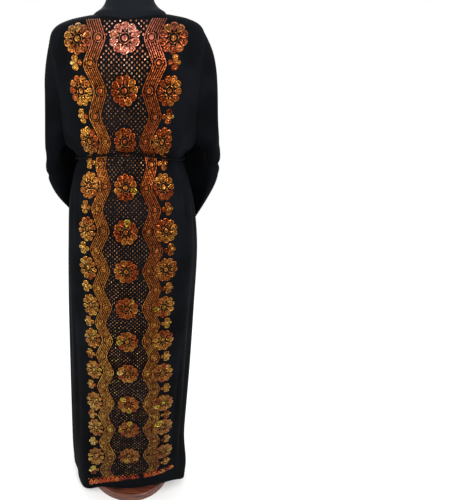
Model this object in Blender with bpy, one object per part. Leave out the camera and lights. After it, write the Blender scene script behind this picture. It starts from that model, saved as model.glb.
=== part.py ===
"""A long open-front robe with a cord belt, worn by a limbless dress form on a stand.

All sizes are in metres, +Z is up and the origin is on the floor under the pole. The robe
faces -Y, so its decorated back faces +Y and its left side is at +X.

The robe's body is one surface, worked out from SECTIONS: each row is a level that runs
round the body from centre front (angle 0) over the left side (90) to centre back (180).
The front and back panels are walls cut out of that surface, the sleeves start on the
armholes' own points, and the form is the same surface drawn in under the cloth.
"""

import math
from typing import NamedTuple

import bmesh
import bpy
import numpy as np

WALL = 0.0015
SEAM = 0.0004
LEFT = 1
RIGHT = -1

FRONT_COLUMNS = 20
BACK_COLUMNS = 28
ARMHOLE_ROWS = 11
LEVEL_STEP = 0.02
ANGLE_STEP = 0.8

FRONT_OVERLAP = 0.012
LOW_OVERLAP = 0.045
OVERLAP_GROWS_Z = 0.62
OVERLAP_GROWS_RUN = 0.40
OVERLAP_TUCK = 0.0027
TUCK_BEFORE_EDGE = 0.022
TUCK_RUN = 0.016
EDGE_DRIFT = -0.033
EDGE_DRIFT_Z = 0.45
EDGE_DRIFT_RUN = 0.35

CORD_RADIUS = 0.0025
CORD_REST = 0.0009
CORD_HANG = 0.0016
WAIST_POINTS = 61
WAIST_CLIMB = 0.26  # how far the ring rises at the sides, as a share of a section
WAIST_CLIMB_OUT = 0.0022  # how much further out it lies there, on the slope of the cloth
WAIST_SPACING = 0.016
LOOP_SPACING = 0.011
END_SPACING = 0.0135
KNOT_X = 0.014
KNOT_SIZE = (0.0085, 0.0070, 0.0080)
KNOT_GAP = 0.0006
END_SET_BACK = 0.0018
TIP_KNOT_RADIUS = 0.0042

FORM_COLUMNS = 28
FORM_FOOT_DROP = 0.004
POLE_RADIUS = 0.0125
BASE_RADIUS = 0.142
BASE_HEIGHT = 0.025
BASE_EDGE = 0.007
BASE_FOOT = 0.001


class Section(NamedTuple):
    """One level of the robe's outer surface."""

    name: str
    half_width: float
    side_z: float
    front_y: float
    front_z: float
    back_y: float
    back_z: float
    squareness: float  # exponent of the level's superellipse
    rise: float  # exponent of the climb from centre to side
    centre_x: float
    notch: float  # degrees that the armhole takes off each panel at the side
    hem_share: float  # how far the level follows the hem's own height


SECTIONS = (
    Section("neckline", 0.092, 1.448, -0.120, 1.320, 0.062, 1.434, 1.70, 1.10, 0.002, 0, 0),
    Section("yoke", 0.138, 1.439, -0.130, 1.298, 0.082, 1.405, 1.90, 1.30, 0.004, 0, 0),
    Section("shoulder tip", 0.171, 1.423, -0.137, 1.277, 0.098, 1.372, 2.10, 1.50, 0.006, 0, 0),
    Section("over tip", 0.184, 1.394, -0.140, 1.256, 0.107, 1.338, 2.25, 1.65, 0.007, 12, 0),
    Section("armhole high", 0.185, 1.335, -0.141, 1.232, 0.112, 1.295, 2.35, 1.67, 0.003, 20, 0),
    Section("armhole mid", 0.179, 1.265, -0.138, 1.203, 0.114, 1.252, 2.40, 1.67, 0.001, 22, 0),
    Section("armhole low", 0.172, 1.196, -0.133, 1.168, 0.114, 1.208, 2.40, 1.67, 0.000, 16, 0),
    Section("underarm", 0.163, 1.155, -0.128, 1.134, 0.114, 1.178, 2.40, 1.67, 0.000, 0, 0),
    Section("above belt", 0.145, 1.139, -0.119, 1.107, 0.108, 1.161, 2.40, 1.67, 0.000, 0, 0),
    Section("belt", 0.134, 1.116, -0.112, 1.086, 0.102, 1.148, 2.35, 1.67, 0.000, 0, 0),
    Section("below belt", 0.144, 1.096, -0.118, 1.060, 0.109, 1.116, 2.35, 1.67, -0.001, 0, 0),
    Section("high hip", 0.168, 1.008, -0.133, 0.985, 0.124, 1.030, 2.40, 1.67, -0.004, 0, 0),
    Section("hip", 0.181, 0.880, -0.140, 0.875, 0.134, 0.900, 2.45, 1.67, -0.008, 0, 0),
    Section("thigh", 0.187, 0.700, -0.138, 0.700, 0.134, 0.700, 2.50, 1.67, -0.004, 0, 0),
    Section("knee", 0.191, 0.480, -0.132, 0.480, 0.131, 0.480, 2.50, 1.67, 0.000, 0, 0.06),
    Section("calf", 0.193, 0.270, -0.124, 0.280, 0.128, 0.270, 2.45, 1.67, 0.005, 0, 0.25),
    Section("low", 0.194, 0.130, -0.117, 0.160, 0.125, 0.130, 2.40, 1.67, 0.008, 0, 0.70),
    Section("hem", 0.192, 0.050, -0.112, 0.105, 0.121, 0.050, 2.35, 1.67, 0.009, 0, 1),
)
SHOULDER_TIP, UNDERARM, BELT, HIGH_HIP, HEM = 2, 7, 9, 11, 17
FORM_FOOT = 12.75


class HemPoint(NamedTuple):
    """The hem's height above the floor at one angle round the skirt."""

    angle: float
    z: float


HEM_HEIGHTS = (
    HemPoint(0, 0.112),
    HemPoint(15, 0.128),
    HemPoint(32, 0.098),
    HemPoint(52, 0.086),
    HemPoint(75, 0.090),
    HemPoint(97, 0.050),
    HemPoint(118, 0.018),
    HemPoint(138, 0.011),
    HemPoint(158, 0.030),
    HemPoint(180, 0.035),
    HemPoint(210, 0.048),
    HemPoint(235, 0.040),
    HemPoint(254, 0.027),
    HemPoint(277, 0.034),
    HemPoint(300, 0.050),
    HemPoint(320, 0.088),
    HemPoint(337, 0.140),
    HemPoint(350, 0.121),
)


class Fold(NamedTuple):
    """A hanging fold of the skirt: a valley, or a ridge where its depth is negative."""

    angle_top: float
    angle_hem: float
    half_angle: float
    depth: float
    top_z: float
    run: float = 0.32


SKIRT_FOLDS = (
    Fold(12, 15, 5.5, 0.010, 1.00),
    Fold(36, 40, 6.5, 0.012, 1.02),
    Fold(56, 61, 6.0, 0.010, 0.96),
    Fold(78, 82, 6.0, 0.007, 0.80),
    Fold(108, 112, 7.0, 0.006, 0.90),
    Fold(140, 139, 13.0, -0.016, 0.30, 0.22),
    Fold(252, 247, 7.0, 0.008, 0.95),
    Fold(253, 251, 11.0, -0.025, 0.23, 0.15),
    Fold(284, 280, 6.0, 0.009, 0.86),
    Fold(302, 300, 5.5, 0.007, 0.70),
    Fold(322, 318, 6.0, 0.012, 1.02),
    Fold(337, 334, 5.5, 0.010, 0.98),
)


class SleeveSection(NamedTuple):
    """One ring of the right sleeve: its two creases and the middles of its two layers."""

    name: str
    over: tuple
    outer: tuple
    under: tuple
    inner: tuple


SLEEVE = (
    SleeveSection(
        "cap",
        (-0.187, -0.022, 1.362), (-0.208, 0.038, 1.245),
        (-0.186, 0.007, 1.138), (-0.189, -0.062, 1.238),
    ),
    SleeveSection(
        "upper arm",
        (-0.175, -0.078, 1.282), (-0.220, 0.018, 1.188),
        (-0.199, 0.019, 1.104), (-0.180, -0.068, 1.170),
    ),
    SleeveSection(
        "above elbow",
        (-0.145, -0.114, 1.200), (-0.222, -0.022, 1.135),
        (-0.208, 0.016, 1.068), (-0.168, -0.072, 1.115),
    ),
    SleeveSection(
        "elbow",
        (-0.114, -0.137, 1.122), (-0.209, -0.066, 1.076),
        (-0.208, 0.000, 1.022), (-0.152, -0.078, 1.050),
    ),
    SleeveSection(
        "forearm",
        (-0.085, -0.151, 1.046), (-0.180, -0.110, 1.012),
        (-0.197, -0.032, 0.970), (-0.142, -0.094, 0.992),
    ),
    SleeveSection(
        "above cuff",
        (-0.060, -0.161, 0.985), (-0.144, -0.143, 0.950),
        (-0.174, -0.076, 0.906), (-0.124, -0.120, 0.934),
    ),
    SleeveSection(
        "cuff",
        (-0.035, -0.168, 0.948), (-0.098, -0.165, 0.886),
        (-0.142, -0.131, 0.822), (-0.088, -0.150, 0.880),
    ),
)
SLEEVE_ROWS = 15
ARMHOLE_FADE = 2.2
BELOW_ARM_RUN = 0.04


class SleevePose(NamedTuple):
    """How one sleeve lies off the mirrored table: its cuff to the right and forward, its elbow up."""

    name: str
    side: int
    drift: float
    forward: float
    lift: float


SLEEVE_POSES = (
    SleevePose("sleeve_left", LEFT, 0.054, 0.014, -0.015),
    SleevePose("sleeve_right", RIGHT, 0.004, 0.0, 0.024),
)
SLEEVE_BODY_GAP = 0.004
SLEEVE_HOLLOW = 0.012
SEAM_RISE = 0.0022


class BeltLoop(NamedTuple):
    """A loop of the belt's bow: its route out from the knot and back, from the knot's centre."""

    name: str
    route: tuple


BELT_LOOPS = (
    BeltLoop("belt_loop_right", (
        (-0.0088, -0.0025, 0.0026), (-0.020, -0.0060, 0.0018), (-0.036, -0.0080, -0.0010),
        (-0.052, -0.0075, -0.0040), (-0.0600, -0.0065, -0.0090), (-0.0560, -0.0060, -0.0135),
        (-0.042, -0.0070, -0.0125), (-0.026, -0.0070, -0.0085), (-0.0086, -0.0032, -0.0036),
    )),
    BeltLoop("belt_loop_left", (
        (0.0103, -0.0025, 0.0000), (0.020, -0.0095, -0.0110), (0.031, -0.0150, -0.0260),
        (0.041, -0.0195, -0.0410), (0.0450, -0.0220, -0.0520), (0.0390, -0.0225, -0.0560),
        (0.0290, -0.0200, -0.0470), (0.0190, -0.0155, -0.0300), (0.0110, -0.0110, -0.0160),
        (0.0050, -0.0062, -0.0072),
    )),
)


class BeltEnd(NamedTuple):
    """A hanging end of the belt: where it leaves the knot, and its route down the front."""

    name: str
    tip_name: str
    start_x: float
    route: tuple  # x and z of each point


BELT_ENDS = (
    BeltEnd("belt_end_right", "belt_tip_right", -0.0035, (
        (0.0060, 1.050), (0.0000, 1.020), (-0.0050, 0.985), (-0.0080, 0.945), (-0.0090, 0.905),
        (-0.0080, 0.865), (-0.0105, 0.830), (-0.0120, 0.808),
    )),
    BeltEnd("belt_end_left", "belt_tip_left", 0.0035, (
        (0.0150, 1.050), (0.0100, 1.020), (0.0055, 0.985), (0.0030, 0.945), (0.0020, 0.905),
        (0.0035, 0.872), (0.0030, 0.845), (0.0040, 0.826),
    )),
)


class Ease(NamedTuple):
    """Room between the cloth and the form at one section, at its middle and at its side."""

    section: int
    middle: float
    side: float


FORM_EASE = (
    Ease(0, 0.0040, 0.0008),
    Ease(1, 0.0060, 0.0010),
    Ease(2, 0.0100, 0.0013),
    Ease(3, 0.0140, 0.0120),
    Ease(4, 0.0140, 0.0190),
    Ease(5, 0.0140, 0.0190),
    Ease(6, 0.0140, 0.0150),
    Ease(7, 0.0120, 0.0120),
    Ease(8, 0.0110, 0.0110),
    Ease(9, 0.0080, 0.0080),
    Ease(10, 0.0100, 0.0100),
    Ease(11, 0.0150, 0.0150),
    Ease(12, 0.0200, 0.0200),
    Ease(13, 0.0250, 0.0250),
)


class NeckRing(NamedTuple):
    """A ring of the form's neck: its half width, its front and back, and their heights."""

    half_width: float
    front_y: float
    back_y: float
    front_z: float
    back_z: float
    side_z: float


NECK_RINGS = (
    NeckRing(0.0460, -0.045, 0.041, 1.5500, 1.5500, 1.5500),
    NeckRing(0.0500, -0.049, 0.045, 1.5470, 1.5470, 1.5470),
    NeckRing(0.0510, -0.050, 0.046, 1.5200, 1.5200, 1.5200),
    NeckRing(0.0545, -0.053, 0.047, 1.4860, 1.4880, 1.4800),
    NeckRing(0.0640, -0.064, 0.050, 1.4520, 1.4620, 1.4640),
    NeckRing(0.0800, -0.088, 0.055, 1.4080, 1.4520, 1.4535),
)


def catmull_rom(values, level):
    """Values of a table's column between its rows, on a smooth curve through them."""
    values = np.asarray(values, dtype=float)
    level = np.clip(np.asarray(level, dtype=float), 0, len(values) - 1)
    first = np.minimum(level.astype(int), len(values) - 2)
    share = level - first
    if values.ndim > 1:
        share = share[..., None]
    before = values[np.maximum(first - 1, 0)]
    start = values[first]
    end = values[first + 1]
    after = values[np.minimum(first + 2, len(values) - 1)]
    return 0.5 * (
        2 * start
        + (end - before) * share
        + (2 * before - 5 * start + 4 * end - after) * share**2
        + (3 * start - before - 3 * end + after) * share**3
    )


def smooth_step(share):
    """0 to 1 with level ends."""
    share = np.clip(share, 0, 1)
    return share * share * (3 - 2 * share)


def column(name, level):
    """One column of SECTIONS at the given levels."""
    return catmull_rom([getattr(section, name) for section in SECTIONS], level)


def hem_height(angle):
    """The hem's height at an angle, on a closed smooth curve through HEM_HEIGHTS."""
    angles = np.array([point.angle for point in HEM_HEIGHTS], dtype=float)
    heights = np.array([point.z for point in HEM_HEIGHTS])
    angles = np.concatenate([angles[-2:] - 360, angles, angles[:2] + 360])
    heights = np.concatenate([heights[-2:], heights, heights[:2]])
    level = np.interp(np.mod(angle, 360), angles, np.arange(len(angles)))
    return catmull_rom(heights, level)


def fold_depth(angle, z):
    """How far the skirt's folds draw the cloth in at an angle and height."""
    depth = np.zeros(np.broadcast(angle, z).shape)
    for fold in SKIRT_FOLDS:
        grown = smooth_step((fold.top_z - z) / fold.run)
        low = np.clip((fold.top_z - z) / fold.top_z, 0, 1)
        centre = fold.angle_top + (fold.angle_hem - fold.angle_top) * low
        away = np.mod(angle - centre + 180, 360) - 180
        depth += fold.depth * grown * np.exp(-((away / fold.half_angle) ** 2))
    return depth


def body_surface(level, angle, folded=True):
    """Points of the robe's outer surface.

    A level is a superellipse in plan, x = half_width * sin and y = depth * (1 - |sin|^p)^(1/p),
    and climbs from its centre's height to its side's height as |sin|^rise.
    """
    level, angle = np.broadcast_arrays(np.asarray(level, float), np.asarray(angle, float))
    sine = np.sin(np.radians(angle))
    across = np.abs(sine)
    in_front = np.cos(np.radians(angle)) >= 0
    power = column("squareness", level)
    half_width = column("half_width", level)
    depth = np.where(in_front, column("front_y", level), column("back_y", level))
    middle_z = np.where(in_front, column("front_z", level), column("back_z", level))
    side_z = column("side_z", level)
    rise = column("rise", level)
    x = half_width * sine
    y = depth * np.clip(1 - across**power, 0, 1) ** (1 / power)
    z = middle_z + (side_z - middle_z) * across**rise
    hem = SECTIONS[HEM]
    plain_hem = np.where(in_front, hem.front_z, hem.back_z)
    plain_hem = plain_hem + (hem.side_z - plain_hem) * across**hem.rise
    z = z + column("hem_share", level) * (hem_height(angle) - plain_hem)
    if folded:
        outward = np.stack([x / half_width**2, y / depth**2], axis=-1)
        outward /= np.linalg.norm(outward, axis=-1, keepdims=True)
        drawn_in = fold_depth(angle, z)
        x = x - outward[..., 0] * drawn_in
        y = y - outward[..., 1] * drawn_in
    return np.stack([x + column("centre_x", level), y, z], axis=-1)


def body_normals(level, angle, folded=True):
    """Unit normals of the robe's outer surface, pointing outwards, from small steps on it."""
    level, angle = np.broadcast_arrays(np.asarray(level, float), np.asarray(angle, float))
    above = body_surface(level - LEVEL_STEP, angle, folded)
    below = body_surface(level + LEVEL_STEP, angle, folded)
    before = body_surface(level, angle - ANGLE_STEP, folded)
    after = body_surface(level, angle + ANGLE_STEP, folded)
    normals = np.cross(below - above, after - before)
    return normals / np.linalg.norm(normals, axis=-1, keepdims=True)


def ring_normals(grid):
    """Unit normals of a grid whose rows are closed rings."""
    down = np.gradient(grid, axis=0)
    along = (np.roll(grid, -1, axis=1) - np.roll(grid, 1, axis=1)) / 2
    normals = np.cross(down, along)
    return normals / np.linalg.norm(normals, axis=-1, keepdims=True)


def panel_levels():
    """The levels of every panel's rows: closer at the shoulders and the waist."""
    return np.concatenate([
        np.linspace(0, SHOULDER_TIP, 4)[:-1],
        np.linspace(SHOULDER_TIP, UNDERARM, ARMHOLE_ROWS + 1)[:-1],
        np.linspace(UNDERARM, BELT, 4)[:-1],
        np.linspace(BELT, HIGH_HIP, 4)[:-1],
        np.linspace(HIGH_HIP, HEM, 10),
    ])


def front_edge_x(z):
    """Where the left front's edge lies: on the centre, then drifting right near the hem."""
    low = np.clip((EDGE_DRIFT_Z - z) / EDGE_DRIFT_RUN, 0, 1)
    return -FRONT_OVERLAP / 2 + EDGE_DRIFT * low**1.5


def overlap_width(z):
    """How far the right front reaches under the left one: more towards the hem."""
    grown = smooth_step((OVERLAP_GROWS_Z - z) / OVERLAP_GROWS_RUN)
    return FRONT_OVERLAP + (LOW_OVERLAP - FRONT_OVERLAP) * grown


def panel_grids(name, levels):
    """The outer and inner points of one panel's wall, rows from neck to hem."""
    level = levels[:, None]
    side_angle = 90 - column("notch", level) * (level > SHOULDER_TIP) * (level < UNDERARM)
    centre_z = column("front_z", level)
    half_width = column("half_width", level)
    edge = front_edge_x(centre_z) - column("centre_x", level)
    if name == "back_panel":
        share = np.linspace(0, 1, BACK_COLUMNS + 1)[None, :]
        angle = 180 + (1 - 2 * share) * (-side_angle)
    elif name == "front_left":
        share = np.linspace(0, 1, FRONT_COLUMNS + 1)[None, :]
        start = np.degrees(np.arcsin(edge / half_width))
        angle = start + (side_angle - start) * share
    else:
        share = np.linspace(0, 1, FRONT_COLUMNS + 1)[None, :]
        end = np.degrees(np.arcsin((edge + overlap_width(centre_z)) / half_width))
        angle = -side_angle + (end + side_angle) * share
    outer = body_surface(level, angle)
    outer[..., 1] += SEAM / 2 if name == "back_panel" else -SEAM / 2
    normals = body_normals(level, angle)
    if name == "front_right":
        past_edge = outer[..., 0] - (front_edge_x(outer[..., 2]) - TUCK_BEFORE_EDGE)
        tuck = OVERLAP_TUCK * smooth_step(past_edge / TUCK_RUN)
        outer = outer - normals * tuck[..., None]
    return outer, outer - normals * WALL


def armhole_loop(side, levels, grids):
    """A sleeve's first ring: the armhole's edges, down the back and up the front.

    Returns the loop's outer and inner points, moved a seam's width into the hole.
    """
    rows = np.flatnonzero((levels >= SHOULDER_TIP - 1e-6) & (levels <= UNDERARM + 1e-6))
    front = "front_left" if side == LEFT else "front_right"
    front_column = -1 if side == LEFT else 0
    back_column = 0 if side == LEFT else -1
    loops = []
    for layer in (0, 1):
        back_edge = grids["back_panel"][layer][rows, back_column]
        front_edge = grids[front][layer][rows, front_column]
        top = (back_edge[0] + front_edge[0]) / 2
        bottom = (back_edge[-1] + front_edge[-1]) / 2
        loops.append(np.vstack([[top], back_edge[1:-1], [bottom], front_edge[-2:0:-1]]))
    middle = loops[0].mean(axis=0)
    inward = middle - loops[0]
    inward /= np.linalg.norm(inward, axis=1, keepdims=True)
    return loops[0] + SEAM * inward, loops[1] + SEAM * inward


def clear_of_skirt(points, gap):
    """Push points that would reach into the robe's body straight out to a gap before it."""
    z_down = -points[..., 2]
    side_down = [-section.side_z for section in SECTIONS]

    def at_height(name):
        return np.interp(z_down, side_down, [getattr(s, name) for s in SECTIONS])

    half_width = at_height("half_width") + gap + WALL
    depth = np.where(points[..., 1] < 0, -at_height("front_y"), at_height("back_y")) + gap + WALL
    power = at_height("squareness")
    centre_x = at_height("centre_x")
    across = np.abs(points[..., 0] - centre_x) / half_width
    reach = (across**power + np.abs(points[..., 1] / depth) ** power) ** (1 / power)
    below_arm = smooth_step((SECTIONS[UNDERARM].side_z - points[..., 2]) / BELOW_ARM_RUN)
    push = 1 + (1 / np.minimum(reach, 1) - 1) * below_arm
    points[..., 0] = centre_x + (points[..., 0] - centre_x) * push
    points[..., 1] *= push
    return points


def sleeve_grids(pose, levels, grids):
    """The outer and inner points of one sleeve's wall, rings from armhole to cuff.

    A ring goes from the over-arm crease round the outer layer to the under-arm crease and
    back on the inner layer: centre + (crease - centre) * cos + (layer - centre) * sin.
    """
    loop, inner_loop = armhole_loop(pose.side, levels, grids)
    half = ARMHOLE_ROWS
    drop = (loop[0, 2] - loop[: half + 1, 2]) / (loop[0, 2] - loop[half, 2])
    cosine = 1 - 2 * drop
    cosine = np.concatenate([cosine, cosine[-2:0:-1]])
    sine = np.sqrt(np.clip(1 - cosine**2, 0, 1))
    on_outer = np.arange(2 * half) <= half
    creases = {}
    start = {
        "over": loop[0],
        "outer": loop[half // 2 + 1],
        "under": loop[half],
        "inner": loop[-(half // 2 + 1)],
    }
    last = len(SLEEVE)
    for part, first in start.items():
        rows = np.array([getattr(section, part) for section in SLEEVE])
        rows[:, 0] *= -pose.side
        reach = (np.arange(1, last + 1) / last) ** 2
        rows[:, 0] -= pose.drift * reach
        rows[:, 1] -= pose.forward * reach
        rows[:, 2] += pose.lift * np.sin(np.pi * np.arange(1, last + 1) / (last + 1))
        creases[part] = np.vstack([first, rows])
    station = np.linspace(0, last, SLEEVE_ROWS)
    over = catmull_rom(creases["over"], station)[:, None, :]
    under = catmull_rom(creases["under"], station)[:, None, :]
    outer_layer = catmull_rom(creases["outer"], station)[:, None, :]
    inner_layer = catmull_rom(creases["inner"], station)[:, None, :]
    centre = (over + under) / 2
    layer = np.where(on_outer[None, :, None], outer_layer, inner_layer)
    grid = centre + (over - centre) * cosine[None, :, None]
    grid = grid + (layer - centre) * sine[None, :, None]
    fade = 1 - smooth_step(station / ARMHOLE_FADE)[:, None, None]
    grid = grid + fade * (loop - grid[0])[None]
    gap = SLEEVE_BODY_GAP + on_outer * SLEEVE_HOLLOW * sine
    grid[1:] = clear_of_skirt(grid[1:], gap[None, :])
    normals = ring_normals(grid) * pose.side
    inner = grid - normals * WALL
    into_hole = loop.mean(axis=0) - loop
    into_hole /= np.linalg.norm(into_hole, axis=1, keepdims=True)
    out_of_wall = (loop - inner_loop) / WALL
    turn = SEAM_RISE * into_hole + SEAM_RISE / 2 * out_of_wall
    grid = np.concatenate([loop[None], (loop + turn)[None], grid[1:]])
    inner = np.concatenate([inner_loop[None], (inner_loop + turn)[None], inner[1:]])
    return grid, inner


def wall_faces(rows, columns, closed_ring):
    """Faces of a closed wall: outer grid, inner grid and the strips along open edges."""
    count = rows * columns
    faces = []
    spans = columns if closed_ring else columns - 1
    for row in range(rows - 1):
        for col in range(spans):
            right = (col + 1) % columns
            a, b = row * columns + col, row * columns + right
            c, d = (row + 1) * columns + right, (row + 1) * columns + col
            faces.append((a, d, c, b))
            faces.append((count + a, count + b, count + c, count + d))
    for row in (0, rows - 1):
        for col in range(spans):
            a, b = row * columns + col, row * columns + (col + 1) % columns
            faces.append((a, b, count + b, count + a) if row == 0
                         else (b, a, count + a, count + b))
    if not closed_ring:
        for col in (0, columns - 1):
            for row in range(rows - 1):
                a, b = row * columns + col, (row + 1) * columns + col
                faces.append((b, a, count + a, count + b) if col == 0
                             else (a, b, count + b, count + a))
    return faces


def material(name, colour, roughness, metallic=0.0):
    """A plain Principled material."""
    made = bpy.data.materials.new(name)
    made.use_nodes = True
    shader = made.node_tree.nodes["Principled BSDF"]
    shader.inputs["Base Color"].default_value = (*colour, 1)
    shader.inputs["Roughness"].default_value = roughness
    shader.inputs["Metallic"].default_value = metallic
    return made


def add_mesh(name, vertices, faces, finish):
    """A closed mesh object with its faces turned outwards, shaded smooth."""
    mesh = bpy.data.meshes.new(name)
    mesh.from_pydata([tuple(vertex) for vertex in vertices], [], faces)
    work = bmesh.new()
    work.from_mesh(mesh)
    bmesh.ops.recalc_face_normals(work, faces=work.faces)
    work.to_mesh(mesh)
    work.free()
    mesh.shade_smooth()
    mesh.set_sharp_from_angle(angle=math.radians(40))
    mesh.materials.append(finish)
    made = bpy.data.objects.new(name, mesh)
    bpy.context.collection.objects.link(made)
    return made


def add_wall(name, grids, finish, closed_ring=False):
    """A cloth wall between an outer and an inner grid of points."""
    outer, inner = grids
    rows, columns = outer.shape[:2]
    vertices = np.vstack([outer.reshape(-1, 3), inner.reshape(-1, 3)])
    return add_mesh(name, vertices, wall_faces(rows, columns, closed_ring), finish)


def add_rings(name, rings, finish):
    """A closed solid through rings of points, with a flat cap on its first and last ring."""
    columns = len(rings[0])
    faces = [tuple(range(columns))]
    for row in range(len(rings) - 1):
        for col in range(columns):
            right = (col + 1) % columns
            faces.append((row * columns + col, (row + 1) * columns + col,
                          (row + 1) * columns + right, row * columns + right))
    last = (len(rings) - 1) * columns
    faces.append(tuple(range(last + columns - 1, last - 1, -1)))
    return add_mesh(name, np.vstack(rings), faces, finish)


def build_robe(cloth):
    """The front and back panels and the two sleeves."""
    levels = panel_levels()
    grids = {name: panel_grids(name, levels) for name in ("back_panel", "front_left", "front_right")}
    for name, panel in grids.items():
        add_wall(name, panel, cloth)
    for pose in SLEEVE_POSES:
        add_wall(pose.name, sleeve_grids(pose, levels, grids), cloth, closed_ring=True)


def add_cord(name, route, spacing, finish):
    """A round cord along a smooth curve through its route's points."""
    route = np.array(route)
    steps = np.linalg.norm(np.diff(route, axis=0), axis=1)
    count = max(2, round(steps.sum() / spacing))
    length = np.concatenate([[0], np.cumsum(steps)])
    level = np.interp(np.linspace(0, length[-1], count + 1), length, np.arange(len(route)))
    points = catmull_rom(route, level)
    curve = bpy.data.curves.new(name, "CURVE")
    curve.dimensions = "3D"
    curve.bevel_depth = CORD_RADIUS
    curve.bevel_resolution = 2
    curve.use_fill_caps = True
    spline = curve.splines.new("POLY")
    spline.points.add(len(points) - 1)
    for target, point in zip(spline.points, points):
        target.co = (*point, 1)
    curve.materials.append(finish)
    made = bpy.data.objects.new(name, curve)
    bpy.context.collection.objects.link(made)
    return made


def add_knot(name, centre, half_size, finish):
    """A small rounded knot: a ball stretched to its half sizes."""
    work = bmesh.new()
    bmesh.ops.create_uvsphere(work, u_segments=10, v_segments=6, radius=1)
    for vertex in work.verts:
        vertex.co = [c + v * h for c, v, h in zip(centre, vertex.co, half_size)]
    mesh = bpy.data.meshes.new(name)
    work.to_mesh(mesh)
    work.free()
    mesh.shade_smooth()
    mesh.materials.append(finish)
    made = bpy.data.objects.new(name, mesh)
    bpy.context.collection.objects.link(made)
    return made


def before_front(x, z, gap):
    """A point a gap before the robe's left front, at an x and a height below the belt."""
    centre_z = [-section.front_z for section in SECTIONS]
    level = np.interp(-z, centre_z, np.arange(len(SECTIONS)))
    turn = math.degrees(math.asin((x - column("centre_x", level)) / column("half_width", level)))
    surface_y = body_surface(level, turn)[1]
    return (x, float(surface_y) - gap, z)


def build_belt(cord):
    """The cord belt: its waist ring, front knot, two bow loops and two hanging ends."""
    off_cloth = CORD_RADIUS + CORD_REST
    knot_turn = math.degrees(math.asin(KNOT_X / SECTIONS[BELT].half_width))
    gap_turn = math.degrees((KNOT_SIZE[0] + KNOT_GAP) / SECTIONS[BELT].half_width)
    turns = np.linspace(knot_turn + gap_turn, knot_turn - gap_turn + 360, WAIST_POINTS)
    climb = np.abs(np.sin(np.radians(turns))) ** 1.67
    ring = body_surface(BELT - WAIST_CLIMB * climb, turns)
    ahead = np.gradient(ring, axis=0)
    outward = np.stack([-ahead[:, 1], ahead[:, 0], 0 * turns], axis=-1)
    outward *= np.sign((outward * ring).sum(axis=1))[:, None]
    outward /= np.linalg.norm(outward, axis=1, keepdims=True)
    off_slope = (off_cloth + WAIST_CLIMB_OUT * climb)[:, None]
    add_cord("belt_waist", ring + outward * off_slope, WAIST_SPACING, cord)

    seat = body_surface(float(BELT), knot_turn)
    knot = seat - np.array([0, KNOT_SIZE[1] + CORD_REST, 0])
    add_knot("belt_knot", knot, KNOT_SIZE, cord)

    for loop in BELT_LOOPS:
        add_cord(loop.name, knot + np.array(loop.route), LOOP_SPACING, cord)
    for end in BELT_ENDS:
        x, z = knot[0] + end.start_x, knot[2] - KNOT_SIZE[2] - SEAM
        route = [(x, knot[1] + END_SET_BACK, z)]
        route += [before_front(x, z, off_cloth + CORD_HANG) for x, z in end.route]
        add_cord(end.name, route, END_SPACING, cord)
        tip = np.array(route[-1]) - np.array([0, 0, TIP_KNOT_RADIUS + SEAM])
        add_knot(end.tip_name, tip, (TIP_KNOT_RADIUS,) * 3, cord)


def build_form(covering):
    """The dress form: a neck, and the robe's own surface drawn in under the cloth."""
    turns = np.linspace(0, 360, FORM_COLUMNS, endpoint=False)
    sine, cosine = np.sin(np.radians(turns)), np.cos(np.radians(turns))
    rings = []
    for ring in NECK_RINGS:
        y = np.where(cosine >= 0, ring.front_y, ring.back_y) * np.abs(cosine)
        middle_z = np.where(cosine >= 0, ring.front_z, ring.back_z)
        z = ring.side_z + (middle_z - ring.side_z) * np.abs(cosine)
        rings.append(np.stack([ring.half_width * sine, y, z], axis=-1))
    levels = np.concatenate([
        np.linspace(0, UNDERARM, 12)[:-1],
        np.linspace(UNDERARM, FORM_FOOT, 8),
    ])
    surface = body_surface(levels[:, None], turns[None, :], folded=False)
    normals = body_normals(levels[:, None], turns[None, :], folded=False)
    sections = [ease.section for ease in FORM_EASE]
    middle = np.interp(levels, sections, [ease.middle for ease in FORM_EASE])[:, None]
    side = np.interp(levels, sections, [ease.side for ease in FORM_EASE])[:, None]
    ease = middle + (side - middle) * np.abs(sine)[None, :] ** 4
    drawn_in = surface - normals * (WALL + ease)[..., None]
    rings.extend(drawn_in)
    foot = rings[-1].copy()
    foot[:, 2] = foot[:, 2].min() - FORM_FOOT_DROP
    rings.append(foot)
    add_rings("form_torso", rings, covering)
    return foot[0, 2]


def build_stand(form_foot_z, metal, wood):
    """The pole under the form and the round wooden base."""
    turns = np.radians(np.linspace(0, 360, 40, endpoint=False))
    circle = np.stack([np.cos(turns), np.sin(turns), 0 * turns], axis=-1)
    profile = [
        (BASE_RADIUS - BASE_FOOT, 0.0),
        (BASE_RADIUS, BASE_FOOT),
        (BASE_RADIUS, BASE_HEIGHT - BASE_EDGE),
    ]
    for step in (1, 2, 3):
        turn = math.radians(90 * step / 3)
        profile.append((BASE_RADIUS - BASE_EDGE * (1 - math.cos(turn)),
                        BASE_HEIGHT - BASE_EDGE * (1 - math.sin(turn))))
    add_rings("stand_base", [circle * r + np.array([0, 0, z]) for r, z in profile], wood)
    pole = circle[::2] * POLE_RADIUS
    low = np.array([0, 0, BASE_HEIGHT + SEAM])
    high = np.array([0, 0, form_foot_z - SEAM])
    add_rings("stand_pole", [pole + low, pole + high], metal)


def main():
    """Clear the scene and build the robe, its belt, the form and the stand."""
    for old in list(bpy.data.objects):
        bpy.data.objects.remove(old)
    build_robe(material("black crepe", (0.006, 0.0065, 0.008), 0.75))
    build_belt(material("black cord", (0.008, 0.008, 0.009), 0.6))
    foot_z = build_form(material("form jersey", (0.008, 0.009, 0.012), 0.7))
    build_stand(
        foot_z,
        material("pole steel", (0.35, 0.35, 0.36), 0.35, 1.0),
        material("stained wood", (0.05, 0.016, 0.008), 0.35),
    )


main()
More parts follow.
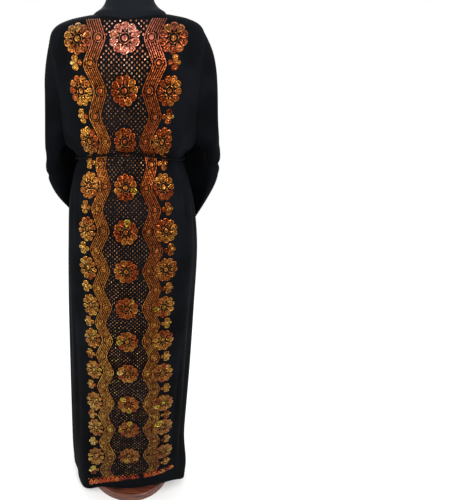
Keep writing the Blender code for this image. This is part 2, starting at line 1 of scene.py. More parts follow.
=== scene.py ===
"""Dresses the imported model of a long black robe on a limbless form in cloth, cord and stones.

All sizes are in metres. +Z is up, the robe faces -Y and its decorated back faces +Y. Cloth is
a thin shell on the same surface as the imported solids, with its creases worked in, and every
stone is a small solid set on that cloth.
"""

import logging
import math
from dataclasses import dataclass, field, replace
from enum import Enum

import bpy
import numpy as np
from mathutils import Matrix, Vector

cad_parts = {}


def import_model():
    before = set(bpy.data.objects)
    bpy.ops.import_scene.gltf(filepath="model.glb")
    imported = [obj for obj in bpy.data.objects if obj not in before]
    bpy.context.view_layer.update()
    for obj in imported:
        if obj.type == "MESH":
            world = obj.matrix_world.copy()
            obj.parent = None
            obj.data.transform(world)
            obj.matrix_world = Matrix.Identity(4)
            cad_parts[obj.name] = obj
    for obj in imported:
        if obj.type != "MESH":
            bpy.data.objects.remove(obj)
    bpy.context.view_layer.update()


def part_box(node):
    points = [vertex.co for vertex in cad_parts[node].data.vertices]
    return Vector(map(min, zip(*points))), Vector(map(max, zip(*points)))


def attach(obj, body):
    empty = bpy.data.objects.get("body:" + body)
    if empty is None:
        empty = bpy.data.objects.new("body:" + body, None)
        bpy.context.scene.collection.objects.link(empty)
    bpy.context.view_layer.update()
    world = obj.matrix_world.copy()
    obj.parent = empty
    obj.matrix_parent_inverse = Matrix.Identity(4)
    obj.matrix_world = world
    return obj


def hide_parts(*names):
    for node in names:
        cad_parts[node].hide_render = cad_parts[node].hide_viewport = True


LOG = logging.getLogger("robe")
ROOT = "root"
SEED = 11
Array = np.ndarray
Triple = tuple[float, float, float]
Values = tuple[float, ...]
Material = bpy.types.Material
Piece = bpy.types.Object
Socket = bpy.types.NodeSocket
Tree = bpy.types.NodeTree


# Small helpers


def linear(hex_colour: str) -> tuple[float, float, float, float]:
    """Turn an sRGB hex colour into linear RGBA."""
    channels = [int(hex_colour[i : i + 2], 16) / 255 for i in (1, 3, 5)]
    red, green, blue = (c / 12.92 if c <= 0.04045 else ((c + 0.055) / 1.055) ** 2.4 for c in channels)
    return (red, green, blue, 1.0)


def smooth_step(share: Array) -> Array:
    """Return 0 to 1 with level ends: 3 t^2 - 2 t^3."""
    share = np.clip(share, 0, 1)
    return share * share * (3 - 2 * share)


def catmull_rom(values: Array, level: Array) -> Array:
    """Read a table between its rows on a smooth curve through them.

    Args:
        values: One value or point for each row.
        level: Row numbers, with fractions.

    Returns:
        The values at those levels.
    """
    values = np.asarray(values, dtype=float)
    level = np.clip(np.asarray(level, dtype=float), 0, len(values) - 1)
    first = np.minimum(level.astype(int), len(values) - 2)
    share = level - first
    if values.ndim > 1:
        share = share[..., None]
    before, start = values[np.maximum(first - 1, 0)], values[first]
    end, after = values[first + 1], values[np.minimum(first + 2, len(values) - 1)]
    return 0.5 * (
        2 * start
        + (end - before) * share
        + (2 * before - 5 * start + 4 * end - after) * share**2
        + (3 * start - before - 3 * end + after) * share**3
    )


def unit(vectors: Array) -> Array:
    """Return vectors scaled to length 1."""
    return vectors / np.maximum(np.linalg.norm(vectors, axis=-1, keepdims=True), 1e-12)


def run_lengths(line: Array) -> Array:
    """Return how far along a line each of its points lies."""
    return np.hstack([[0], np.cumsum(np.linalg.norm(np.diff(line, axis=0), axis=1))])


def full_turn(count: int) -> Array:
    """Return evenly spaced angles in radians, from 0 round to just before a full turn."""
    return 2 * np.pi * np.arange(count) / count


def grid_faces(rows: int, columns: int, ring: bool, first: int = 0) -> Array:
    """Number the quads of a grid, so that (down the rows) x (along the columns) is outward."""
    low = np.arange(rows - 1)[:, None] * columns
    here = np.arange(columns if ring else columns - 1)[None, :]
    right = (here + 1) % columns
    quads = np.stack([low + here, low + columns + here, low + columns + right, low + right], axis=-1)
    return quads.reshape(-1, 4) + first


def edge_faces(rows: int, columns: int, ring: bool) -> Array:
    """Number the quads that join two grids of the same size along their open edges.

    Args:
        rows: Number of rows of points in each grid.
        columns: Number of points in a row.
        ring: Whether each row closes on itself.

    Returns:
        An array of four point numbers for each quad, where the second grid follows the first.
    """
    count = rows * columns
    across = np.arange(columns if ring else columns - 1)
    right = (across + 1) % columns
    low = (rows - 1) * columns
    edges = [(across, right), (low + right, low + across)]
    if not ring:
        down = np.arange(rows - 1) * columns
        end = down + columns - 1
        edges += [(down + columns, down), (end, end + columns)]
    return np.vstack([np.stack([a, b, b + count, a + count], axis=-1) for a, b in edges])


def end_faces(rows: int, columns: int) -> Array:
    """Number the triangles that close a stack of rings on a point before it and one after it."""
    here = np.arange(columns)
    after = (here + 1) % columns
    low = (rows - 1) * columns
    top = np.full(columns, rows * columns)
    first_end = np.column_stack([here, after, top])
    return np.vstack([first_end, np.column_stack([low + after, low + here, top + 1])])


def add_object(name: str, data: bpy.types.ID) -> Piece:
    """Add an object to the scene."""
    made = bpy.data.objects.new(name, data)
    bpy.context.collection.objects.link(made)
    return made


def make_piece(
    name: str, points: Array, faces: list[Array], material: Material, smooth: bool = True
) -> Piece:
    """Make a mesh object from arrays and let it ride on the robe's one body.

    Args:
        name: The piece's name.
        points: Points, one row each.
        faces: Arrays of point numbers, each with faces of one size.
        material: The piece's finish.
        smooth: Whether its faces are shaded smooth.

    Returns:
        The new object, at the origin.
    """
    mesh = bpy.data.meshes.new(name)
    loops = np.hstack([block.ravel() for block in faces]).astype(np.int32)
    sizes = np.hstack([np.full(len(block), block.shape[1]) for block in faces])
    mesh.vertices.add(len(points))
    mesh.vertices.foreach_set("co", np.ascontiguousarray(points, dtype=np.float32).ravel())
    mesh.loops.add(len(loops))
    mesh.loops.foreach_set("vertex_index", loops)
    mesh.polygons.add(len(sizes))
    mesh.polygons.foreach_set("loop_start", (np.cumsum(sizes) - sizes).astype(np.int32))
    mesh.polygons.foreach_set("use_smooth", np.full(len(sizes), smooth))
    mesh.update(calc_edges=True)
    mesh.materials.append(material)
    piece = add_object(name, mesh)
    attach(piece, ROOT)
    return piece


def stand_for(piece: Piece, node: str) -> Piece:
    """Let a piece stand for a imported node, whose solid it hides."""
    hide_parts(node)
    return piece


def make_cloth(node: str, outer: Array, inner: Array, ring: bool, flip: bool, cloth: Material) -> Piece:
    """Make a thin shell of cloth: two grids of points joined along their open edges."""
    rows, columns = outer.shape[:2]
    inward = grid_faces(rows, columns, ring, rows * columns)[:, ::-1]
    faces = np.vstack([grid_faces(rows, columns, ring), inward, edge_faces(rows, columns, ring)])
    points = np.vstack([outer.reshape(-1, 3), inner.reshape(-1, 3)])
    piece = make_piece(f"{node}_cloth", points, [faces[:, ::-1] if flip else faces], cloth)
    return stand_for(piece, node)


# Finishes


Stops = tuple[tuple[float, str], ...]  # a colour ramp's places from 0 to 1 and sRGB colours
Pattern = tuple[Socket, Socket | None, Socket | None]


def feed(tree: Tree, node: bpy.types.Node, inputs: dict) -> None:
    """Set a node's inputs, by socket name or number, to values or link them to output sockets."""
    for name, value in inputs.items():
        if isinstance(value, Socket):
            tree.links.new(value, node.inputs[name])
        else:
            node.inputs[name].default_value = value


def add_node(
    tree: Tree, kind: str, settings: dict | None = None, inputs: dict | None = None, stops: Stops = ()
) -> bpy.types.Node:
    """Add a shader node with its settings, values and links.

    Args:
        tree: The material's node tree.
        kind: The node's type name, after ShaderNode.
        settings: Properties of the node.
        inputs: Socket name or number to a value, or to an output socket that is linked to it.
        stops: The stops of a node that has a colour ramp.

    Returns:
        The new node.
    """
    node = tree.nodes.new(f"ShaderNode{kind}")
    for name, value in (settings or {}).items():
        setattr(node, name, value)
    feed(tree, node, inputs or {})
    if stops:
        elements = node.color_ramp.elements
        while len(elements) < len(stops):
            elements.new(0.5)
        for element, (place, colour) in zip(elements, stops):
            element.position = place
            element.color = linear(colour)
    return node


def noise(tree: Tree, place: Socket, scale: float, **inputs: float) -> Socket:
    """Return a noise of so many marks a metre, with the node's other inputs by name."""
    fed = {"Vector": place, "Scale": scale, **inputs}
    return add_node(tree, "TexNoise", inputs=fed).outputs["Fac"]


@dataclass(frozen=True)
class Finish:
    """A finish: constant values on the shader's own sockets, and a pattern in colour and bump.

    A finish of its own kind gives its pattern: what its colour ramp reads, the height of its
    bump, and a colour that the ramp's is multiplied by.
    """

    name: str
    roughness: float
    metallic: float = 0.0
    ior: float = 1.5
    specular: float = 0.5
    sheen: float = 0.0
    sheen_tint: str = "#ffffff"
    coat: float = 0.0
    coat_roughness: float = 0.1
    stops: Stops = ()
    bump: tuple[float, float] = (0.0, 0.0)  # strength, and depth in metres

    def pattern(self, tree: Tree, place: Socket) -> Pattern:
        """Return the pattern's three sockets; each kind of finish has its own."""
        raise NotImplementedError

    def build(self) -> Material:
        """Build the material from its constants and its pattern.

        Returns:
            The material.
        """
        made = bpy.data.materials.new(self.name)
        made.use_nodes = True
        tree = made.node_tree
        shader = tree.nodes["Principled BSDF"]
        constants = {
            "Roughness": self.roughness,
            "Metallic": self.metallic,
            "Specular IOR Level": self.specular,
            "Sheen Weight": self.sheen,
            "Sheen Tint": linear(self.sheen_tint),
            "Coat Weight": self.coat,
            "Coat Roughness": self.coat_roughness,
        }
        if self.metallic < 1:
            constants["IOR"] = self.ior
        feed(tree, shader, constants)
        place = add_node(tree, "TexCoord").outputs["Object"]
        reads, height, tint = self.pattern(tree, place)
        ramp = add_node(tree, "ValToRGB", inputs={"Fac": reads}, stops=self.stops)
        colour = ramp.outputs["Color"]
        if tint is not None:
            multiply = {"data_type": "RGBA", "blend_type": "MULTIPLY"}
            mixed = add_node(tree, "Mix", multiply, {"Factor": 1.0, 6: colour, 7: tint})
            colour = mixed.outputs[2]
        feed(tree, shader, {"Base Color": colour})
        if height is not None:
            strength, depth = self.bump
            relief = {"Height": height, "Strength": strength, "Distance": depth}
            bump = add_node(tree, "Bump", inputs=relief)
            feed(tree, shader, {"Normal": bump.outputs["Normal"]})
        return made


@dataclass(frozen=True)
class CrepeFinish(Finish):
    """Black polyester crepe: twisted yarns give a fine pebble and a dull, slightly blue bloom."""

    stops: Stops = ((0.35, "#07080a"), (0.7, "#101216"))
    bump: tuple[float, float] = (0.35, 0.0004)
    pebble_mm: float = 1.6  # real crepe is 0.5 mm: drawn coarser so that it shows
    drape_mm: float = 90.0
    painted_shade_z: float = 0.2  # painted shade: the cloth is darkest from here down
    light_z: float = 1.1
    darkest: float = 0.45

    def pattern(self, tree: Tree, place: Socket) -> Pattern:
        """Return a slow change of depth, a fine pebble, and a painted shade that darkens the cloth towards
        the hem.
        """
        slow = noise(tree, place, 1000 / self.drape_mm, Detail=3.0)
        pebble = noise(tree, place, 1000 / self.pebble_mm, Detail=2.0, Roughness=0.6)
        # painted shade: the colour is darkened towards the hem
        level = add_node(tree, "SeparateXYZ", inputs={"Vector": place}).outputs["Z"]
        fade = {"Value": level, "From Min": self.painted_shade_z, "From Max": self.light_z, "To Min": self.darkest}
        low = add_node(tree, "MapRange", inputs=fade)
        return slow, pebble, low.outputs["Result"]


@dataclass(frozen=True)
class CordFinish(Finish):
    """Black rayon cord: its plied strands catch thin lines of light."""

    stops: Stops = ((0.35, "#030304"), (0.75, "#0a0b0d"))
    bump: tuple[float, float] = (0.4, 0.0003)
    fibre_mm: float = 0.7

    def pattern(self, tree: Tree, place: Socket) -> Pattern:
        """Return fine fibres in colour and bump."""
        fibre = noise(tree, place, 1000 / self.fibre_mm, Detail=2.0)
        return fibre, fibre, None


@dataclass(frozen=True)
class JerseyFinish(Finish):
    """Black stretch jersey over a hard form: fine ribs, a soft blue-grey bloom at the edges."""

    stops: Stops = ((0.3, "#0b0d11"), (0.75, "#14181f"))
    bump: tuple[float, float] = (0.15, 0.0003)
    rib_mm: float = 1.2
    tone_scale: float = 9.0

    def pattern(self, tree: Tree, place: Socket) -> Pattern:
        """Return a slow change of tone, and knitted ribs as a fine wave."""
        slow = noise(tree, place, self.tone_scale, Detail=2.0)
        # a wave takes pi / (10 scale), and holds a rib and the groove beside it
        wave = {"Vector": place, "Scale": 314 / (self.rib_mm * 2), "Distortion": 1.5}
        ribs = add_node(tree, "TexWave", {"bands_direction": "X"}, wave)
        return slow, ribs.outputs["Fac"], None


@dataclass(frozen=True)
class WoodFinish(Finish):
    """Stained and polished beech: red-brown with darker long grain under a clear coat."""

    stops: Stops = ((0.3, "#260e06"), (0.52, "#55240f"), (0.75, "#78381a"))
    bump: tuple[float, float] = (0.08, 0.0004)
    grain_mm: float = 7.0
    stretch: Triple = (0.1, 1.0, 1.0)  # ten times longer along X

    def pattern(self, tree: Tree, place: Socket) -> Pattern:
        """Return grain lines along X, in colour and bump."""
        long = add_node(tree, "Mapping", inputs={"Vector": place, "Scale": self.stretch}).outputs[0]
        grain = noise(tree, long, 1000 / self.grain_mm, Detail=5.0, Distortion=0.6)
        return grain, grain, None


@dataclass(frozen=True)
class SteelFinish(Finish):
    """Satin chromed steel tube: fine draw marks run along it."""

    stops: Stops = ((0.3, "#6d6f73"), (0.7, "#a3a5a8"))
    mark_mm: float = 10 / 9
    stretch: Triple = (1.0, 1.0, 0.03)  # thirty times longer along Z

    def pattern(self, tree: Tree, place: Socket) -> Pattern:
        """Return long thin draw marks."""
        long = add_node(tree, "Mapping", inputs={"Vector": place, "Scale": self.stretch}).outputs[0]
        return noise(tree, long, 1000 / self.mark_mm, Detail=3.0), None, None


@dataclass(frozen=True)
class StoneFinish(Finish):
    """Foil-backed studs: copper to gold metal, each with its own tone, and facets with painted glints."""

    stops: Stops = ((0.0, "#5a4438"), (0.45, "#b09a84"), (0.8, "#ffffff"))  # painted glints: its facets painted dull to bright
    bump: tuple[float, float] = (0.6, 0.0006)
    facet_mm: float = 2.6

    def pattern(self, tree: Tree, place: Socket) -> Pattern:
        """Return flat facets in the bump, with painted glints (each facet painted dull or bright) over each
        stud's own colour.
        """
        tone = add_node(tree, "Attribute", {"attribute_name": "stone_colour"})
        cells = {"Vector": place, "Scale": 1000 / self.facet_mm}
        facets = add_node(tree, "TexVoronoi", inputs=cells)
        # painted glints: each facet's random value gives it a dull or bright colour
        painted_glint = add_node(tree, "SeparateColor", inputs={"Color": facets.outputs["Color"]})
        return painted_glint.outputs["Red"], facets.outputs["Distance"], tone.outputs["Color"]


# The robe's body


@dataclass(frozen=True)
class Section:
    """One level of the robe's outer surface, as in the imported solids."""

    half_width: float
    side_z: float
    front_y: float
    front_z: float
    back_y: float
    back_z: float
    squareness: float  # exponent of the level's superellipse
    rise: float  # exponent of the climb from centre to side
    centre_x: float
    notch: float  # degrees that the armhole takes off each panel at the side
    hem_share: float  # how far the level follows the hem's own height


SECTIONS = tuple(Section(*row) for row in (
    (0.092, 1.448, -0.12, 1.32, 0.062, 1.434, 1.7, 1.1, 0.002, 0, 0),
    (0.138, 1.439, -0.13, 1.298, 0.082, 1.405, 1.9, 1.3, 0.004, 0, 0),
    (0.171, 1.423, -0.137, 1.277, 0.098, 1.372, 2.1, 1.5, 0.006, 0, 0),
    (0.184, 1.394, -0.14, 1.256, 0.107, 1.338, 2.25, 1.65, 0.007, 12, 0),
    (0.185, 1.335, -0.141, 1.232, 0.112, 1.295, 2.35, 1.67, 0.003, 20, 0),
    (0.179, 1.265, -0.138, 1.203, 0.114, 1.252, 2.4, 1.67, 0.001, 22, 0),
    (0.172, 1.196, -0.133, 1.168, 0.114, 1.208, 2.4, 1.67, 0.0, 16, 0),
    (0.163, 1.155, -0.128, 1.134, 0.114, 1.178, 2.4, 1.67, 0.0, 0, 0),
    (0.145, 1.139, -0.119, 1.107, 0.108, 1.161, 2.4, 1.67, 0.0, 0, 0),
    (0.134, 1.116, -0.112, 1.086, 0.102, 1.148, 2.35, 1.67, 0.0, 0, 0),
    (0.144, 1.096, -0.118, 1.06, 0.109, 1.116, 2.35, 1.67, -0.001, 0, 0),
    (0.168, 1.008, -0.133, 0.985, 0.124, 1.03, 2.4, 1.67, -0.004, 0, 0),
    (0.181, 0.88, -0.14, 0.875, 0.134, 0.9, 2.45, 1.67, -0.008, 0, 0),
    (0.187, 0.7, -0.138, 0.7, 0.134, 0.7, 2.5, 1.67, -0.004, 0, 0),
    (0.191, 0.48, -0.132, 0.48, 0.131, 0.48, 2.5, 1.67, 0.0, 0, 0.06),
    (0.193, 0.27, -0.124, 0.28, 0.128, 0.27, 2.45, 1.67, 0.005, 0, 0.25),
    (0.194, 0.13, -0.117, 0.16, 0.125, 0.13, 2.4, 1.67, 0.008, 0, 0.7),
    (0.192, 0.05, -0.112, 0.105, 0.121, 0.05, 2.35, 1.67, 0.009, 0, 1),
))
SHOULDER_TIP, UNDERARM, BELT, HIGH_HIP, HEM = 2, 7, 9, 11, 17

HEM_ANGLES = (0, 15, 32, 52, 75, 97, 118, 138, 158, 180, 210, 235, 254, 277, 300, 320, 337, 350)
HEM_HEIGHTS = (
    0.112, 0.128, 0.098, 0.086, 0.09, 0.05, 0.018, 0.011, 0.03,
    0.035, 0.048, 0.04, 0.027, 0.034, 0.05, 0.088, 0.14, 0.121,
)


@dataclass(frozen=True)
class Fold:
    """A hanging fold of the skirt: a valley, or a ridge where its depth is negative."""

    angle_top: float
    angle_hem: float
    half_angle: float
    depth: float
    top_z: float
    run: float = 0.32


SKIRT_FOLDS = tuple(Fold(*row) for row in (
    (12, 15, 5.5, 0.01, 1.0), (36, 40, 6.5, 0.012, 1.02),
    (56, 61, 6.0, 0.01, 0.96), (78, 82, 6.0, 0.007, 0.8),
    (108, 112, 7.0, 0.006, 0.9), (140, 139, 13.0, -0.016, 0.3, 0.22),
    (252, 247, 7.0, 0.008, 0.95), (253, 251, 11.0, -0.025, 0.23, 0.15),
    (284, 280, 6.0, 0.009, 0.86), (302, 300, 5.5, 0.007, 0.7),
    (322, 318, 6.0, 0.012, 1.02), (337, 334, 5.5, 0.01, 0.98),
))


@dataclass(frozen=True)
class Crease:
    """A soft trough in the cloth, or a ridge where its depth is negative.

    It runs from one end to the other in the surface's own two parameters: angle and height
    on the body, ring angle and station on a sleeve.
    """

    across_start: float
    along_start: float
    across_end: float
    along_end: float
    half_width: float
    depth: float


BODY_CREASES = tuple(Crease(*row) for row in (
    # drag lines from the armholes, back
    (128, 1.262, 152, 1.19, 4.5, 0.003), (122, 1.228, 140, 1.168, 3.5, 0.0024),
    (226, 1.27, 205, 1.2, 4.0, 0.0028), (236, 1.232, 216, 1.172, 4.0, 0.003),
    # blousing over the belt, back
    (112, 1.205, 118, 1.15, 4.0, 0.0028), (133, 1.222, 138, 1.162, 3.2, 0.0016),
    (222, 1.215, 220, 1.16, 3.4, 0.002), (246, 1.2, 240, 1.146, 4.2, 0.003),
    # falling from the belt, back
    (116, 1.085, 121, 0.905, 3.0, 0.003), (128, 1.092, 131, 0.965, 2.4, 0.0018),
    (101, 1.07, 105, 0.86, 3.6, 0.0036), (240, 1.085, 236, 0.93, 3.2, 0.0028),
    (229, 1.095, 228, 0.99, 2.4, 0.0016), (258, 1.07, 252, 0.82, 3.8, 0.0036),
    # long soft folds of the back's plain margins
    (124, 0.7, 128, 0.18, 4.0, 0.0042), (110, 0.56, 118, 0.06, 4.4, -0.004),
    (236, 0.64, 231, 0.15, 3.6, 0.004), (243, 0.48, 240, 0.08, 3.4, -0.0036),
    (146, 0.33, 150, 0.06, 3.6, 0.0024), (206, 0.3, 209, 0.08, 3.2, 0.0022),
    # front, over the belt
    (24, 1.18, 30, 1.1, 4.0, 0.0032), (44, 1.17, 42, 1.104, 4.2, 0.0034),
    (66, 1.165, 62, 1.11, 4.5, 0.0036), (334, 1.176, 330, 1.098, 4.0, 0.0032),
    (314, 1.17, 318, 1.102, 4.2, 0.0034), (296, 1.16, 298, 1.108, 4.5, 0.0036),
    (58, 1.3, 34, 1.215, 5.0, 0.003), (302, 1.306, 328, 1.21, 5.0, 0.003),
    # front, under the belt
    (20, 1.07, 23, 0.88, 2.8, 0.003), (30, 1.062, 33, 0.76, 3.2, 0.0034),
    (48, 1.075, 50, 0.83, 3.4, 0.0036), (70, 1.08, 70, 0.78, 4.0, 0.0038),
    (343, 1.068, 340, 0.87, 2.8, 0.0028), (329, 1.066, 327, 0.75, 3.2, 0.0034),
    (310, 1.075, 310, 0.82, 3.6, 0.0036), (291, 1.08, 292, 0.76, 4.0, 0.0036),
    # front, low
    (26, 0.62, 28, 0.14, 3.8, 0.0038), (48, 0.54, 50, 0.1, 4.2, -0.004),
    (70, 0.5, 72, 0.11, 4.4, 0.004), (330, 0.6, 326, 0.13, 3.6, -0.0036),
    (310, 0.56, 309, 0.09, 4.2, 0.0042), (292, 0.46, 290, 0.07, 4.4, -0.0036),
))


@dataclass(frozen=True)
class Gathers:
    """The small gathers that the tied belt draws into the cloth just over and under it."""

    pitch_degrees: float = 7.4
    wander_degrees: float = 3.1
    depth: float = 0.0011
    half_height: float = 0.03
    flat_height: float = 0.008  # the cloth lies flat this close under the belt

    def depth_at(self, angle: Array, rise: Array) -> Array:
        """Return how far the gathers draw the cloth in.

        The depth is a cosine whose pitch wanders round the waist, fading away from the belt.
        """
        slow = np.sin(np.radians(angle * 3.0 + 40))
        quick = np.sin(np.radians(angle * 7.0 + 10))
        wander = self.wander_degrees * (slow + 0.6 * quick)
        wave = np.cos(2 * np.pi * (angle + wander) / self.pitch_degrees)
        fade = np.exp(-((rise / self.half_height) ** 2)) * (1 - np.exp(-((rise / self.flat_height) ** 2)))
        return self.depth * (1 + wave) * fade


def crease_depth(creases: tuple[Crease, ...], across: Array, along: Array, turn: float) -> Array:
    """Add up how far creases draw a surface in.

    Each is a bell across its line and fades at both ends: exp(-(d / half_width)^2) times
    sin(pi t)^0.8 with t from 0 to 1 along it.

    Args:
        creases: The creases.
        across: The parameter that they are narrow in.
        along: The parameter that they run along.
        turn: The period of the first parameter, or 0.

    Returns:
        The depths.
    """
    depth = np.zeros(np.broadcast(across, along).shape)
    for crease in creases:
        share = (along - crease.along_start) / (crease.along_end - crease.along_start)
        inside = (share > 0) & (share < 1)
        held = np.clip(share, 0, 1)
        bow = 0.12 * (crease.across_end - crease.across_start) * np.sin(np.pi * held)
        centre = crease.across_start + (crease.across_end - crease.across_start) * held + bow
        away = across - centre
        if turn:
            away = np.mod(away + turn / 2, turn) - turn / 2
        bell = np.exp(-((away / crease.half_width) ** 2))
        depth += crease.depth * inside * np.sin(np.pi * held) ** 0.8 * bell
    return depth


@dataclass
class RobeBody:
    """The robe's body as one surface of level (neck to hem) and angle round it.

    Angle 0 is centre front, 90 the left side and 180 centre back.
    """

    wall: float = 0.0012
    seam: float = 0.0004
    level_step: float = 0.02
    angle_step: float = 0.8
    front_overlap: float = 0.012
    low_overlap: float = 0.045
    overlap_grows_z: float = 0.62
    overlap_grows_run: float = 0.4
    overlap_tuck: float = 0.0027
    tuck_before_edge: float = 0.022
    tuck_run: float = 0.016
    edge_drift: float = -0.033
    edge_drift_z: float = 0.45
    edge_drift_run: float = 0.35
    place_steps: int = 26
    gathers: Gathers = field(default_factory=Gathers)

    def column(self, name: str, level: Array) -> Array:
        """Read one column of the sections at the given levels."""
        return catmull_rom([getattr(section, name) for section in SECTIONS], level)

    def hem_height(self, angle: Array) -> Array:
        """Return the hem's height at an angle, on a closed smooth curve through its table."""
        angles = np.array([a - 360 for a in HEM_ANGLES[-2:]] + [*HEM_ANGLES, 360, 375], float)
        heights = np.array([*HEM_HEIGHTS[-2:], *HEM_HEIGHTS, *HEM_HEIGHTS[:2]])
        level = np.interp(np.mod(angle, 360), angles, np.arange(len(angles)))
        return catmull_rom(heights, level)

    def fold_depth(self, angle: Array, z: Array) -> Array:
        """Return how far the skirt's large folds draw the cloth in: bells that grow downwards.

        Args:
            angle: Degrees round the body.
            z: Heights.

        Returns:
            The depths.
        """
        depth = np.zeros(np.broadcast(angle, z).shape)
        for fold in SKIRT_FOLDS:
            grown = smooth_step((fold.top_z - z) / fold.run)
            low = np.clip((fold.top_z - z) / fold.top_z, 0, 1)
            centre = fold.angle_top + (fold.angle_hem - fold.angle_top) * low
            away = np.mod(angle - centre + 180, 360) - 180
            depth += fold.depth * grown * np.exp(-((away / fold.half_angle) ** 2))
        return depth

    def solid(self, level: Array, angle: Array, folded: bool = True) -> Array:
        """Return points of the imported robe's outer surface.

        A level is x = half_width * sin and y = depth * (1 - |sin|^p)^(1/p) in plan, and climbs
        from its centre's height to its side's as |sin|^rise.

        Args:
            level: Row numbers of the sections, with fractions.
            angle: Degrees round the body.
            folded: Whether the skirt's folds are drawn in.

        Returns:
            The points.
        """
        level, angle = np.broadcast_arrays(np.asarray(level, float), np.asarray(angle, float))
        names = ("squareness", "half_width", "side_z", "rise", "hem_share", "centre_x")
        power, half_width, side_z, rise, hem_share, centre_x = (self.column(n, level) for n in names)
        sine = np.sin(np.radians(angle))
        across = np.abs(sine)
        in_front = np.cos(np.radians(angle)) >= 0
        depth = np.where(in_front, self.column("front_y", level), self.column("back_y", level))
        middle_z = np.where(in_front, self.column("front_z", level), self.column("back_z", level))
        x = half_width * sine
        y = depth * np.clip(1 - across**power, 0, 1) ** (1 / power)
        z = middle_z + (side_z - middle_z) * across**rise
        hem = SECTIONS[HEM]
        plain = np.where(in_front, hem.front_z, hem.back_z)
        plain = plain + (hem.side_z - plain) * across**hem.rise
        z = z + hem_share * (self.hem_height(angle) - plain)
        if folded:
            outward = unit(np.stack([x / half_width**2, y / depth**2], axis=-1))
            drawn_in = self.fold_depth(angle, z)
            x -= outward[..., 0] * drawn_in
            y -= outward[..., 1] * drawn_in
        return np.stack([x + centre_x, y, z], axis=-1)

    def normals(self, level: Array, angle: Array, folded: bool = True) -> Array:
        """Return the surface's outward unit normals, from small steps down and along it."""
        down, along = (
            self.solid(level + low, angle + far, folded) - self.solid(level - low, angle - far, folded)
            for low, far in ((self.level_step, 0.0), (0.0, self.angle_step))
        )
        return unit(np.cross(down, along))

    def creased(self, level: Array, angle: Array) -> tuple[Array, Array]:
        """Return the cloth's outer points, with creases and gathers, and its plain normals."""
        points = self.solid(level, angle)
        normals = self.normals(level, angle)
        turned = np.mod(angle, 360)
        depth = crease_depth(BODY_CREASES, turned, points[..., 2], 360)
        belt_z = self.solid(np.full(np.shape(turned), float(BELT)), turned)[..., 2]
        depth = depth + self.gathers.depth_at(turned, points[..., 2] - belt_z)
        return points - normals * depth[..., None], normals

    def front_edge_x(self, z: Array) -> Array:
        """Return where the left front's edge lies: the centre, then drifting right near the hem."""
        low = np.clip((self.edge_drift_z - z) / self.edge_drift_run, 0, 1)
        return -self.front_overlap / 2 + self.edge_drift * low**1.5

    def overlap_width(self, z: Array) -> Array:
        """Return how far the right front reaches under the left one."""
        grown = smooth_step((self.overlap_grows_z - z) / self.overlap_grows_run)
        return self.front_overlap + (self.low_overlap - self.front_overlap) * grown

    def side_angle(self, level: Array) -> Array:
        """Return how far round each panel reaches at its side: 90 less the armhole's notch."""
        in_armhole = (level > SHOULDER_TIP) & (level < UNDERARM)
        return 90 - self.column("notch", level) * in_armhole

    def edge_angles(self, level: Array) -> tuple[Array, Array]:
        """Return the angles of the two fronts' centre edges, from their places across."""
        centre_z = self.column("front_z", level)
        half_width = self.column("half_width", level)
        edge = self.front_edge_x(centre_z) - self.column("centre_x", level)
        left = np.degrees(np.arcsin(edge / half_width))
        right = np.degrees(np.arcsin((edge + self.overlap_width(centre_z)) / half_width))
        return left, right

    def panel_point(self, name: str, level: Array, angle: Array) -> tuple[Array, Array]:
        """Return a panel's outer cloth points and normals, with its seam gap and its tuck."""
        points, normals = self.creased(level, angle)
        points[..., 1] += self.seam / 2 if name == "back_panel" else -self.seam / 2
        if name == "front_right":
            past = points[..., 0] - (self.front_edge_x(points[..., 2]) - self.tuck_before_edge)
            tuck = self.overlap_tuck * smooth_step(past / self.tuck_run)
            points = points - normals * tuck[..., None]
        return points, normals

    def panel_span(self, name: str, level: Array) -> tuple[Array, Array]:
        """Return the angles of a panel's first and last columns."""
        side = self.side_angle(level)
        left, right = self.edge_angles(level)
        if name == "back_panel":
            return 180 - side, 180 + side
        return (left, side) if name == "front_left" else (-side, right)

    def at_place(self, x: Array, z: Array, back: bool) -> tuple[Array, Array]:
        """Find the level and angle of the cloth at a place seen from straight behind or before.

        The level is halved in on until its own height at that x is z.

        Args:
            x: Places across.
            z: Heights.
            back: Whether the place is on the back.

        Returns:
            Levels and angles.
        """
        low = np.zeros(np.shape(x))
        high = np.full(np.shape(x), float(HEM))
        for _ in range(self.place_steps):
            level = (low + high) / 2
            angle = self.angle_at(level, x, back)
            too_high = self.solid(level, angle, folded=False)[..., 2] > z
            low = np.where(too_high, level, low)
            high = np.where(too_high, high, level)
        level = (low + high) / 2
        return level, self.angle_at(level, x, back)

    def angle_at(self, level: Array, x: Array, back: bool) -> Array:
        """Return the angle at which a level crosses x, the arc sine of x over its half width."""
        sine = (x - self.column("centre_x", level)) / self.column("half_width", level)
        turn = np.degrees(np.arcsin(np.clip(sine, -0.995, 0.995)))
        return 180 - turn if back else turn


